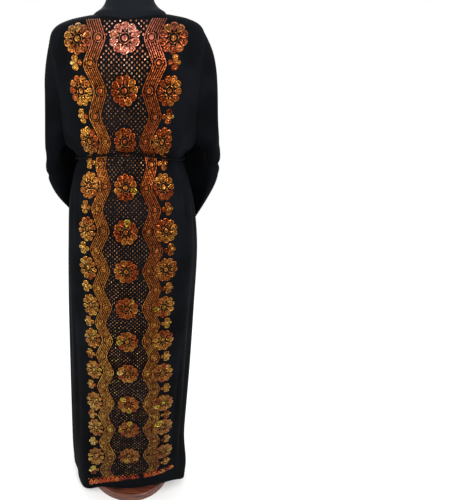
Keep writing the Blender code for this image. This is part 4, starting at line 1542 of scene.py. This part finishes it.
    def field_beads(self) -> Studs:
        """Fill the middle between the bands with staggered rows of upright beads."""
        studs = self.no_studs()
        row_z = np.arange(self.bottom + 0.003, self.top_z + 0.005, self.bead_row)
        columns = np.arange(-6, 7) * self.bead_pitch
        stagger = (np.arange(len(row_z)) % 2) * self.bead_pitch / 2
        x = (columns[None, :] + stagger[:, None]).ravel()
        z = np.repeat(row_z, len(columns))
        keep = np.abs(x) < self.band_offset(z) + self.band_lines[0] - self.bead_gap
        for row, centre_z in enumerate(self.row_heights):
            wide = self.radius_across * (1 if row else self.top_centre_wide) + self.rosette_gap
            keep &= (x / wide) ** 2 + ((z - centre_z) / (self.radius_up + self.rosette_gap)) ** 2 > 1
        x, z = x[keep], z[keep]
        high = smooth_step((z - self.bead_high_z) / self.bead_high_run)
        low_tone, high_lift, patch = self.bead_tones
        tone = low_tone + high_lift * high + patch * np.cos(z * 37) * np.cos(x * 90)
        wide, tall, stands = self.bead_size
        grown = 1 + self.bead_growth * high
        studs.add(BEAD, x, z, 0.0, (wide * grown, tall * grown, stands), tone)
        return studs

    def border(self) -> Studs:
        """Lay the row of copper drops that closes the ornament above the hem, with beads between."""
        studs = self.no_studs()
        x = np.arange(-self.border_reach, self.border_reach + 0.002, self.border_pitch)
        x = x[np.abs(x - self.border_break) >= 0.006]
        tall = self.border_height * (1.0 + 0.1 * x / 0.12)
        z = self.border_z + tall
        studs.add(PETAL, x, z, math.pi, (self.drop_width, tall, self.petal_height), 0.34)
        studs.add(BEAD, x + self.border_pitch / 2, z, 0.0, self.border_bead, 0.5)
        return studs

    def build(self, finish: Material, chain: Material) -> list[Piece]:
        """Build the ornament in five pieces.

        Args:
            finish: The studs' finish.
            chain: The wave bands' finish.

        Returns:
            The pieces.
        """
        looks = Palette(facing=-1, spread=0.1)
        petals = replace(looks, spread=0.07, odd_share=0.01, low_painted_glints=0.04, low_painted_glint_spread=0.5)
        even = replace(looks, spread=0.04, tip=0.04, low_painted_glint_spread=4.0)
        tan = replace(looks, tip=0.06, bronze="#52341f", copper="#a8744c", gold="#c8a07c", pale="#f2ddc8")
        # the painted light gain lifts the hem border, which the painted light darkens low down
        red = replace(looks, bronze="#8a2c08", copper="#f2611a", spread=0.08, low_painted_glints=0.0, painted_light_gain=1.35)
        return [
            self.rosettes().build("back_rosettes", finish, petals),
            self.buds().build("back_buds", finish, looks),
            self.waves().build("back_wave_bands", chain, even),
            self.field_beads().build("back_bead_field", finish, tan),
            self.border().build("back_hem_border", finish, red),
        ]


@dataclass
class KnotBand:
    """A band of open diamond knots and pointed ovals, one after the other."""

    cloth: StripCloth
    middle: float
    start: float
    end: float
    tone: float
    repeat: float = 0.064
    knot_half_width: float = 0.0086
    knot_half_height: float = 0.006
    oval_half_width: float = 0.0118
    oval_half_length: float = 0.015
    inner_oval: float = 0.52
    knot_bar_width: float = 0.0018
    bar_share: float = 0.32  # from bar to bar, as a share of a diamond's edge
    bars_per_edge: float = 3.15  # three bars with their gaps
    bar_height: float = 0.0013
    oval_bar: Triple = (0.0027, 0.0034, 0.0014)
    bar_pitch: float = 0.0033
    slope_step: float = 0.02  # how far apart an oval's slope is read, as a share of its half length
    bead: Triple = (0.0026, 0.0046, 0.0014)
    bead_pitch: float = 0.00495

    def knot_bars(self) -> tuple[Array, Array, Array, float]:
        """Return the bars round seven small diamonds, three to each of their edges.

        Returns:
            The bars' places across and along, their turns and their length.
        """
        wide, tall = self.knot_half_width, self.knot_half_height
        centres = ((0, -2), (-1, -1), (1, -1), (0, 0), (-1, 1), (1, 1), (0, 2))
        corners = ((1, 1), (1, -1), (-1, 1), (-1, -1))
        edges = {(2 * x + side, 2 * y + up, side * up) for x, y in centres for side, up in corners}
        x, y, lean = (column[:, None] for column in np.array(sorted(edges)).T)
        share = np.array([[-self.bar_share, 0.0, self.bar_share]])
        across = (x * wide / 2 - lean * share * wide).ravel()
        along = (y * tall / 2 + share * tall).ravel()
        turn = np.repeat(np.arctan2(lean * wide, tall), share.size)
        return across, along, turn, math.hypot(wide, tall) / self.bars_per_edge

    def oval_bars(self, scale: float) -> tuple[Array, Array, Array]:
        """Return the bars round a pointed oval.

        Each side is half_width * cos(pi t / 2)^0.8 for t from -1 to 1 up the oval.
        """
        wide, tall = self.oval_half_width * scale, self.oval_half_length * (0.35 + 0.65 * scale)
        count = max(5, round(2 * tall / self.bar_pitch))
        share = (np.arange(count) + 0.5) / count * 2 - 1
        near = share + self.slope_step
        bulge, ahead = (wide * np.cos(np.pi * np.clip(t, -1, 1) / 2) ** 0.8 for t in (share, near))
        turn = -np.arctan2(ahead - bulge, tall * self.slope_step)
        return np.hstack([bulge, -bulge]), np.tile(share * tall, 2), np.hstack([turn, -turn])

    def add_bars(self, made: Studs, x: Array, y: Array, turn: Array, size: tuple, tone: float) -> None:
        """Add bars to the band, all but those past its ends."""
        keep = (y > self.start) & (y < self.end)
        made.add(BAR, self.middle + x[keep], y[keep], turn[keep], size, tone)

    def studs(self) -> Studs:
        """Place the whole band: a knot and an oval in each repeat, and three beads in the oval."""
        made = Studs(self.cloth)
        knot_x, knot_y, knot_turn, knot_length = self.knot_bars()
        knot_bar = (self.knot_bar_width, knot_length, self.bar_height)
        places = np.arange(self.start + self.repeat / 4, self.end, self.repeat / 2)
        for number, place in enumerate(places):
            tone = self.tone + 0.05 * math.cos(number * 2.1)
            if number % 2 == 0:
                self.add_bars(made, knot_x, place + knot_y, knot_turn, knot_bar, tone)
                continue
            for scale, lift in ((1.0, 0.06), (self.inner_oval, -0.02)):
                x, y, turn = self.oval_bars(scale)
                self.add_bars(made, x, place + y, turn, self.oval_bar, tone + lift)
            beads = place + self.bead_pitch * np.array([-1, 0, 1])
            made.add(BEAD, self.middle, beads, 0.0, self.bead, tone + 0.1)
        return made


@dataclass
class FrontOrnament:
    """The bands along the front edges, the sleeves' over-arm creases and the cuffs."""

    body: RobeBody
    sleeves: tuple[SleeveMaker, ...]
    strip_width: float = 0.08
    neck_depth: float = 2.6
    sleeve_knot: float = 0.0066

    def front_strip(self, name: str) -> StripCloth:
        """Return a strip of a front, from its centre edge outwards, neck to hem."""
        level = np.linspace(0, HEM, 500)[:, None]
        left, right = self.body.edge_angles(level)
        reach = self.strip_width / self.body.column("half_width", level)
        turn = np.degrees(reach) * np.linspace(0, 1, 26)[None, :]
        angle = left + turn if name == "front_left" else right - turn
        return StripCloth(self.body.panel_point(name, level, angle)[0])

    def neck_strip(self, name: str) -> StripCloth:
        """Return the strip under the neckline, from the shoulder seam to the centre edge."""
        sign = 1 if name == "front_left" else -1
        turn = sign * np.linspace(89, 6, 200)[:, None]
        level = np.linspace(0, self.neck_depth, 30)[None, :]
        return StripCloth(self.body.panel_point(name, level, turn)[0])

    def crease_strip(self, sleeve: SleeveMaker) -> StripCloth:
        """Return the strip of a sleeve's outer layer that starts on its over-arm crease."""
        return StripCloth(sleeve.grid()[0][:, : sleeve.half_ring // 2 + 12])

    def cuff_strip(self, sleeve: SleeveMaker) -> StripCloth:
        """Return the strip of a sleeve's outer layer that starts on its cuff's edge."""
        rows = sleeve.grid()[0][: sleeve.rows // 2 : -1, : sleeve.half_ring + 1]
        return StripCloth(np.swapaxes(rows, 0, 1))

    def build(self, finish: Material) -> list[Piece]:
        """Build a band for each front edge, each neck edge, each over-arm crease and each cuff.

        Args:
            finish: The studs' finish.

        Returns:
            The pieces, two for each front and then two for each sleeve.
        """
        bands = []  # name, strip, middle, start, end short of the strip's, tone, facing
        for name, facing in (("front_left", -1), ("front_right", 1)):
            bands.append((f"{name}_band", self.front_strip(name), 0.027, 0.004, 0.025, 0.46, facing))
            bands.append((f"{name}_neck_band", self.neck_strip(name), 0.019, 0.004, 0.004, 0.4, -facing))
        for sleeve in self.sleeves:
            name, facing = sleeve.name, sleeve.side.value
            start = 0.004 if sleeve.side is Side.LEFT else 0.11
            bands.append((f"{name}_arm_band", self.crease_strip(sleeve), 0.0135, start, 0.012, 0.36, -facing))
            bands.append((f"{name}_cuff_band", self.cuff_strip(sleeve), 0.015, 0.028, 0.004, 0.36, facing))
        pieces = []
        for name, strip, middle, start, end, tone, facing in bands:
            band = KnotBand(strip, middle, start, strip.length - end, tone)
            if name.startswith("sleeve"):
                band.knot_half_width = self.sleeve_knot
            # the painted light gain brightens the front bands, and their painted pink highlight is weaker
            looks = Palette(spread=0.08, painted_light_gain=1.35, painted_highlight_most=0.5, facing=facing)
            pieces.append(band.studs().build(name, finish, looks))
        return pieces


# The belt


@dataclass(frozen=True)
class CordShape:
    """A plied cord: a tube whose three strands turn round its middle."""

    radius: float = 0.0025
    strands: int = 3
    strand_depth: float = 0.13
    lay_length: float = 0.014
    around: int = 18
    spacing: float = 0.0014

    def route(self, points: Array) -> Array:
        """Return a smooth even route through points."""
        points = np.asarray(points, float)
        fine = catmull_rom(points, np.linspace(0, len(points) - 1, 40 * len(points)))
        length = run_lengths(fine)
        even = np.linspace(0, length[-1], max(8, round(run_lengths(points)[-1] / self.spacing)))
        return np.column_stack([np.interp(even, length, fine[:, axis]) for axis in range(3)])

    def mesh(self, line: Array, radius: float) -> tuple[Array, list[Array]]:
        """Return a tube along a line.

        Radius at turn a and length s is r (1 + depth cos(strands a - 2 pi s / lay)). The
        frame is carried along the line without twist.

        Args:
            line: The route's points.
            radius: The cord's radius.

        Returns:
            Points, and quads and end triangles.
        """
        ahead = unit(np.gradient(line, axis=0))
        side = np.zeros_like(ahead)
        carried = np.array([0.0, 0.0, 1.0]) if abs(ahead[0, 2]) < 0.8 else np.array([0.0, 1.0, 0.0])
        for number, direction in enumerate(ahead):
            carried = carried - direction * (carried @ direction)
            carried = carried / np.linalg.norm(carried)
            side[number] = carried
        other = np.cross(ahead, side)
        turn = full_turn(self.around)
        ply = self.strands * turn[None, :] - 2 * np.pi * run_lengths(line)[:, None] / self.lay_length
        reach = radius * (1 - self.strand_depth + self.strand_depth * np.cos(ply))
        rings = line[:, None] + side[:, None] * (reach * np.cos(turn))[..., None]
        rings += other[:, None] * (reach * np.sin(turn))[..., None]
        points = np.vstack([rings.reshape(-1, 3), line[:1], line[-1:]])
        quads, ends = grid_faces(len(line), self.around, True), end_faces(len(line), self.around)
        return points, [quads[:, ::-1], ends[:, [1, 0, 2]]]


BOW_RIGHT = (
    (-0.0088, -0.0025, 0.0026), (-0.02, -0.006, 0.0018), (-0.036, -0.008, -0.001),
    (-0.052, -0.0075, -0.004), (-0.06, -0.0065, -0.009), (-0.056, -0.006, -0.0135),
    (-0.042, -0.007, -0.0125), (-0.026, -0.007, -0.0085), (-0.0086, -0.0032, -0.0036),
)
BOW_LEFT = (
    (0.0103, -0.0025, 0.0), (0.02, -0.0095, -0.011), (0.031, -0.015, -0.026),
    (0.041, -0.0195, -0.041), (0.045, -0.022, -0.052), (0.039, -0.0225, -0.056),
    (0.029, -0.02, -0.047), (0.019, -0.0155, -0.03), (0.011, -0.011, -0.016),
    (0.005, -0.0062, -0.0072),
)
END_RIGHT = (
    (0.006, 1.05), (0.0, 1.02), (-0.005, 0.985), (-0.008, 0.945), (-0.009, 0.905),
    (-0.008, 0.865), (-0.0105, 0.83), (-0.012, 0.808),
)
END_LEFT = (
    (0.015, 1.05), (0.01, 1.02), (0.0055, 0.985), (0.003, 0.945), (0.002, 0.905),
    (0.0035, 0.872), (0.003, 0.845), (0.004, 0.826),
)


@dataclass
class Belt:
    """The cord belt: its waist ring, knot, bow loops and two hanging ends."""

    body: RobeBody
    shape: CordShape = CordShape()
    climb: float = 0.26  # how far the waist ring rises at the sides, as a share of a section
    climb_power: float = 1.67
    climb_out: float = 0.0022  # how much further out it lies there, on the slope of the cloth
    rest_gap: float = 0.0009
    hang_gap: float = 0.0016
    knot_x: float = 0.014
    knot_size: Triple = (0.0085, 0.007, 0.008)
    knot_gap: float = 0.0006
    knot_cord: float = 0.0027
    tip_radius: float = 0.0042
    tip_cord: float = 0.0015
    end_x: float = 0.0035
    end_set_back: float = 0.0018

    @property
    def knot(self) -> Array:
        """Return the knot's centre."""
        turn = math.degrees(math.asin(self.knot_x / SECTIONS[BELT].half_width))
        seat = self.body.solid(np.array(float(BELT)), np.array(turn))
        return seat - np.array([0, self.knot_size[1] + self.rest_gap, 0])

    def waist_line(self) -> Array:
        """Return the waist ring's route: the belt's level, moved out to rest on the cloth."""
        half_width = SECTIONS[BELT].half_width
        middle = math.degrees(math.asin(self.knot_x / half_width))
        gap = math.degrees((self.knot_size[0] + self.knot_gap) / half_width)
        turns = np.linspace(middle + gap, middle - gap + 360, 121)
        climb = np.abs(np.sin(np.radians(turns))) ** self.climb_power
        ring = self.body.solid(BELT - self.climb * climb, turns)
        ahead = np.gradient(ring, axis=0)
        outward = np.stack([-ahead[:, 1], ahead[:, 0], 0 * turns], axis=-1)
        outward *= np.sign((outward * ring).sum(axis=1))[:, None]
        return ring + unit(outward) * (self.shape.radius + self.rest_gap + self.climb_out * climb)[:, None]

    def end_line(self, start_x: float, route: tuple) -> Array:
        """Return a hanging end's route: out of the knot and down the left front."""
        x, z = np.array(route).T
        level = np.interp(-z, [-section.front_z for section in SECTIONS], np.arange(len(SECTIONS)))
        surface = self.body.solid(level, self.body.angle_at(level, x, back=False))
        y = surface[:, 1] - self.shape.radius - self.rest_gap - self.hang_gap
        start = self.knot + (start_x, self.end_set_back, -self.knot_size[2] - self.body.seam)
        return np.vstack([start, np.column_stack([x, y, z])])

    def knot_line(self, centre: Array, size: Triple) -> Array:
        """Return a knot's inner route: a trefoil that winds inside an oval of the given size."""
        share = np.linspace(0, 4 * np.pi, 90)
        ring = 0.62 + 0.3 * np.cos(1.5 * share)
        line = [ring * np.cos(share), 0.62 * np.sin(1.5 * share), ring * np.sin(share)]
        return centre + np.stack(line, axis=-1) * np.array(size)

    def piece(self, name: str, node: str, line: Array, cord: Material, radius: float) -> Piece:
        """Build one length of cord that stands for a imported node."""
        return stand_for(make_piece(name, *self.shape.mesh(line, radius), cord), node)

    def build(self, cord: Material) -> list[Piece]:
        """Build the belt and its two free ends.

        Args:
            cord: The cord's finish.

        Returns:
            The pieces.
        """
        knot = self.knot
        radius = self.shape.radius
        lines = (
            ("belt_waist_cord", "belt_waist", self.shape.route(self.waist_line()), radius),
            ("belt_knot_cord", "belt_knot", self.knot_line(knot, self.knot_size), self.knot_cord),
            ("bow_loop_right", "belt_loop_right", self.shape.route(knot + BOW_RIGHT), radius),
            ("bow_loop_left", "belt_loop_left", self.shape.route(knot + BOW_LEFT), radius),
        )
        pieces = [self.piece(name, node, line, cord, thick) for name, node, line, thick in lines]
        for side, start_x, route in (("right", -self.end_x, END_RIGHT), ("left", self.end_x, END_LEFT)):
            rough = self.end_line(start_x, route)
            line = self.shape.route(rough)
            tip = self.knot_line(rough[-1] - (0, 0, self.tip_radius + self.body.seam), (self.tip_radius,) * 3)
            tip_piece = self.piece(f"belt_tip_{side}_cord", f"belt_tip_{side}", tip, cord, self.tip_cord)
            end_piece = self.piece(f"belt_end_{side}_cord", f"belt_end_{side}", line, cord, radius)
            pieces += [end_piece, tip_piece]
        return pieces


# The form and its stand

FORM_EASE = (
    (0, 0.004, 0.0008), (1, 0.006, 0.001), (2, 0.01, 0.0013), (3, 0.014, 0.012),
    (4, 0.014, 0.019), (5, 0.014, 0.019), (6, 0.014, 0.015), (7, 0.012, 0.012),
    (8, 0.011, 0.011), (9, 0.008, 0.008), (10, 0.01, 0.01), (11, 0.015, 0.015),
    (12, 0.02, 0.02), (13, 0.025, 0.025),
)
NECK_RINGS = (
    # half width, front, back, height in front, height behind, height at the side
    (0.046, -0.045, 0.041, 1.55, 1.55, 1.55),
    (0.05, -0.049, 0.045, 1.547, 1.547, 1.547),
    (0.051, -0.05, 0.046, 1.52, 1.52, 1.52),
    (0.0545, -0.053, 0.047, 1.486, 1.488, 1.48),
    (0.064, -0.064, 0.05, 1.452, 1.462, 1.464),
    (0.08, -0.088, 0.055, 1.408, 1.452, 1.4535),
)


@dataclass
class DressForm:
    """The limbless form: a neck, and the robe's own surface drawn in under the cloth."""

    body: RobeBody
    columns: int = 96
    rows: int = 150
    wall: float = 0.0015
    foot_level: float = 12.75
    foot_drop: float = 0.004

    def rings(self) -> Array:
        """Return the form's rings from neck to foot, smoothed between the tables' rows.

        A neck ring is x = half_width * sin and y = depth * |cos|. A body ring is the robe's
        own, drawn in by its wall and an ease that goes from front to side as |sin|^4.

        Returns:
            The rings.
        """
        turns = np.linspace(0, 360, self.columns, endpoint=False)
        sine, cosine = np.sin(np.radians(turns)), np.cos(np.radians(turns))
        coarse = []
        for half_width, front_y, back_y, front_z, back_z, side_z in NECK_RINGS:
            y = np.where(cosine >= 0, front_y, back_y) * np.abs(cosine)
            z = side_z + (np.where(cosine >= 0, front_z, back_z) - side_z) * np.abs(cosine)
            coarse.append(np.stack([half_width * sine, y, z], axis=-1))
        levels = np.append(np.linspace(0, UNDERARM, 12)[:-1], np.linspace(UNDERARM, self.foot_level, 8))
        surface = self.body.solid(levels[:, None], turns[None, :], folded=False)
        normals = self.body.normals(levels[:, None], turns[None, :], folded=False)
        row, middle, side = np.array(FORM_EASE).T
        middle, side = (np.interp(levels, row, ease)[:, None] for ease in (middle, side))
        ease = middle + (side - middle) * np.abs(sine)[None, :] ** 4
        coarse.extend(surface - normals * (self.wall + ease)[..., None])
        stack = np.array(coarse).reshape(len(coarse), -1)
        smooth = catmull_rom(stack, np.linspace(0, len(stack) - 1, self.rows))
        return smooth.reshape(self.rows, self.columns, 3)

    def build(self, jersey: Material) -> Piece:
        """Build the form, closed by a flat cap and a flat foot.

        Args:
            jersey: The cover's finish.

        Returns:
            The piece.
        """
        rings = self.rings()
        foot = rings[-1].copy()
        foot[:, 2] = foot[:, 2].min() - self.foot_drop
        rings = np.vstack([rings, foot[None]])
        shape = rings.shape[:2]
        points = np.vstack([rings.reshape(-1, 3), [rings[0].mean(axis=0)], [foot.mean(axis=0)]])
        piece = make_piece("form_cover", points, [grid_faces(*shape, True), end_faces(*shape)], jersey)
        return stand_for(piece, "form_torso")


@dataclass
class Stand:
    """The pole and the round wooden base, turned from their profiles."""

    pole_radius: float = 0.0125
    pole_around: int = 48
    base_radius: float = 0.142
    base_height: float = 0.025
    base_around: int = 128
    edge: float = 0.007
    foot_edge: float = 0.001
    sharp_degrees: float = 40.0

    def turned(self, name: str, profile: Array, around: int, finish: Material) -> Piece:
        """Make a solid of revolution about the Z axis.

        Args:
            name: The piece's name.
            profile: Radii and heights, top first.
            around: Points in a ring.
            finish: The piece's finish.

        Returns:
            The piece.
        """
        turns = full_turn(around)
        circle = np.stack([np.cos(turns), np.sin(turns), 0 * turns], axis=-1)
        rings = circle[None] * profile[:, 0, None, None] + np.array([0, 0, 1.0]) * profile[:, 1, None, None]
        ends = [[0, 0, profile[0, 1]], [0, 0, profile[-1, 1]]]
        faces = [grid_faces(len(profile), around, True), end_faces(len(profile), around)]
        piece = make_piece(name, np.vstack([rings.reshape(-1, 3), ends]), faces, finish)
        piece.data.set_sharp_from_angle(angle=math.radians(self.sharp_degrees))
        return piece

    def build(self, steel: Material, wood: Material) -> list[Piece]:
        """Build the base with a quarter-round edge, and the pole between it and the form.

        Args:
            steel: The pole's finish.
            wood: The base's finish.

        Returns:
            The base and the pole.
        """
        turn = np.linspace(np.pi / 2, 0, 9)
        radii = self.base_radius - self.edge * (1 - np.cos(turn))
        heights = self.base_height - self.edge * (1 - np.sin(turn))
        foot = [[self.base_radius, self.foot_edge], [self.base_radius - self.foot_edge, 0.0]]
        profile = np.vstack([np.column_stack([radii, heights]), foot])
        base = self.turned("base_disc", profile, self.base_around, wood)
        low, high = (corner.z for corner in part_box("stand_pole"))
        profile = np.array([[self.pole_radius, high], [self.pole_radius, low]])
        pole = self.turned("pole_tube", profile, self.pole_around, steel)
        return [stand_for(base, "stand_base"), stand_for(pole, "stand_pole")]


# The studio

LIGHTS = (
    # name, place, target, side in metres and power in watts
    ("key", (-1.6, 2.4, 2.6), (0, 0, 0.9), 1.2, 60),
    ("fill", (2.4, 1.6, 1.8), (0, 0, 0.8), 1.6, 30),
    ("front", (0.8, -2.6, 2.4), (0, 0, 0.9), 1.6, 45),
)


@dataclass
class Studio:
    """A pale floor, soft lights and the camera behind the robe."""

    camera_place: Triple = (-0.0965, 1.1028, 1.326)
    camera_pitch: float = 67.0
    camera_turn: float = 185.0
    lens: float = 30.17
    shift: float = 0.215
    floor_half: float = 12.0
    floor_drop: float = 0.0004
    fade_from: float = 0.5  # the floor's own tone fades to pure white between these distances
    fade_to: float = 2.2

    def light(self, name: str, place: tuple, target: tuple, size: float, power: float) -> None:
        """Add a square soft light that faces a target.

        Args:
            name: The light's name.
            place: Where it stands.
            target: What it faces.
            size: Its side.
            power: Its power in watts.
        """
        data = bpy.data.lights.new(name, "AREA")
        data.shape = "SQUARE"
        data.size = size
        data.energy = power
        lamp = add_object(name, data)
        ahead = unit(np.array(target) - np.array(place))
        lamp.location = place
        lamp.rotation_euler = (math.acos(-ahead[2]), 0.0, math.atan2(ahead[0], -ahead[1]) + math.pi)

    def floor(self) -> None:
        """Add the floor: a flat sheet of pale paper that fades to white all round."""
        mesh = bpy.data.meshes.new("studio_floor")
        corners = np.array([[-1, -1, 0], [1, -1, 0], [1, 1, 0], [-1, 1, 0]]) * self.floor_half
        mesh.from_pydata([tuple(c) for c in corners - [0, 0, self.floor_drop]], [], [(0, 1, 2, 3)])
        paper = bpy.data.materials.new("floor paper")
        paper.use_nodes = True
        tree = paper.node_tree
        shader = tree.nodes["Principled BSDF"]
        place = add_node(tree, "TexCoord").outputs["Object"]
        away = add_node(tree, "VectorMath", {"operation": "LENGTH"}, {0: place}).outputs["Value"]
        reach = {"Value": away, "From Min": self.fade_from, "From Max": self.fade_to}
        fade = add_node(tree, "MapRange", inputs=reach).outputs["Result"]
        stops = ((0.0, "#f4f4f3"), (1.0, "#000000"))
        tone = add_node(tree, "ValToRGB", inputs={"Fac": fade}, stops=stops).outputs["Color"]
        glow = {"Emission Strength": fade, "Emission Color": linear("#ffffff")}
        feed(tree, shader, {"Base Color": tone, "Roughness": 0.9, "Specular IOR Level": 0.0, **glow})
        mesh.materials.append(paper)
        add_object("studio_floor", mesh)

    def build(self) -> None:
        """Build the floor, the world, the lights and the camera."""
        self.floor()
        world = bpy.data.worlds.new("studio")
        world.use_nodes = True
        sky = world.node_tree.nodes["Background"]
        feed(world.node_tree, sky, {"Color": linear("#ffffff"), "Strength": 1.0})
        bpy.context.scene.world = world
        bpy.context.scene.view_settings.view_transform = "Standard"
        for lamp in LIGHTS:
            self.light(*lamp)
        camera = add_object("camera", bpy.data.cameras.new("camera"))
        camera.data.lens = self.lens
        camera.data.sensor_width = 36.0
        camera.data.shift_x = self.shift
        camera.location = self.camera_place
        camera.rotation_euler = (math.radians(self.camera_pitch), 0.0, math.radians(self.camera_turn))
        bpy.context.scene.camera = camera


def main() -> None:
    logging.basicConfig(level=logging.INFO, format="%(message)s")
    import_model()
    Studio().build()
    bloom = {"specular": 0.03, "sheen": 0.012, "sheen_tint": "#8f9bb0"}
    crepe = CrepeFinish("black polyester crepe", roughness=0.85, **bloom).build()
    cord = CordFinish("plied rayon cord", roughness=0.7, specular=0.05, sheen=0.01).build()
    bloom = {"specular": 0.1, "sheen": 0.05, "sheen_tint": "#8ea0c0"}
    jersey = JerseyFinish("stretch jersey cover", roughness=0.75, **bloom).build()
    wood = WoodFinish("stained polished beech", roughness=0.5, coat=0.15, coat_roughness=0.3).build()
    steel = SteelFinish("satin chromed steel", roughness=0.3, metallic=1.0).build()
    stones = StoneFinish("foil backed studs", roughness=0.24, metallic=1.0).build()
    # painted glints of the cup chain: its facets painted from dull to bright
    facets = ((0.0, "#94826f"), (0.45, "#cfc2b4"), (0.8, "#ffffff"))
    chain = StoneFinish("cup chain", roughness=0.3, metallic=1.0, facet_mm=3.0, stops=facets).build()

    body = RobeBody()
    panels = PanelMaker(body)
    cloths = {name: panels.build(name, crepe) for name in ("back_panel", "front_left", "front_right")}
    sleeves = (
        SleeveMaker(body, Side.LEFT, drift=0.054, forward=0.014, lift=-0.015),
        SleeveMaker(body, Side.RIGHT, drift=0.004, forward=0.0, lift=0.024),
    )
    for sleeve in sleeves:
        cloths[sleeve.name] = sleeve.build(crepe)
    pieces = [*cloths.values(), *Belt(body).build(cord), DressForm(body).build(jersey)]
    pieces += Stand().build(steel, wood)
    back = BackOrnament(body).build(stones, chain)
    front = FrontOrnament(body, sleeves).build(chain)
    pieces += back + front
    for piece in pieces:
        piece.data.calc_loop_triangles()
        LOG.info("%s: %d triangles", piece.name, len(piece.data.loop_triangles))


if __name__ == "__main__":
    main()
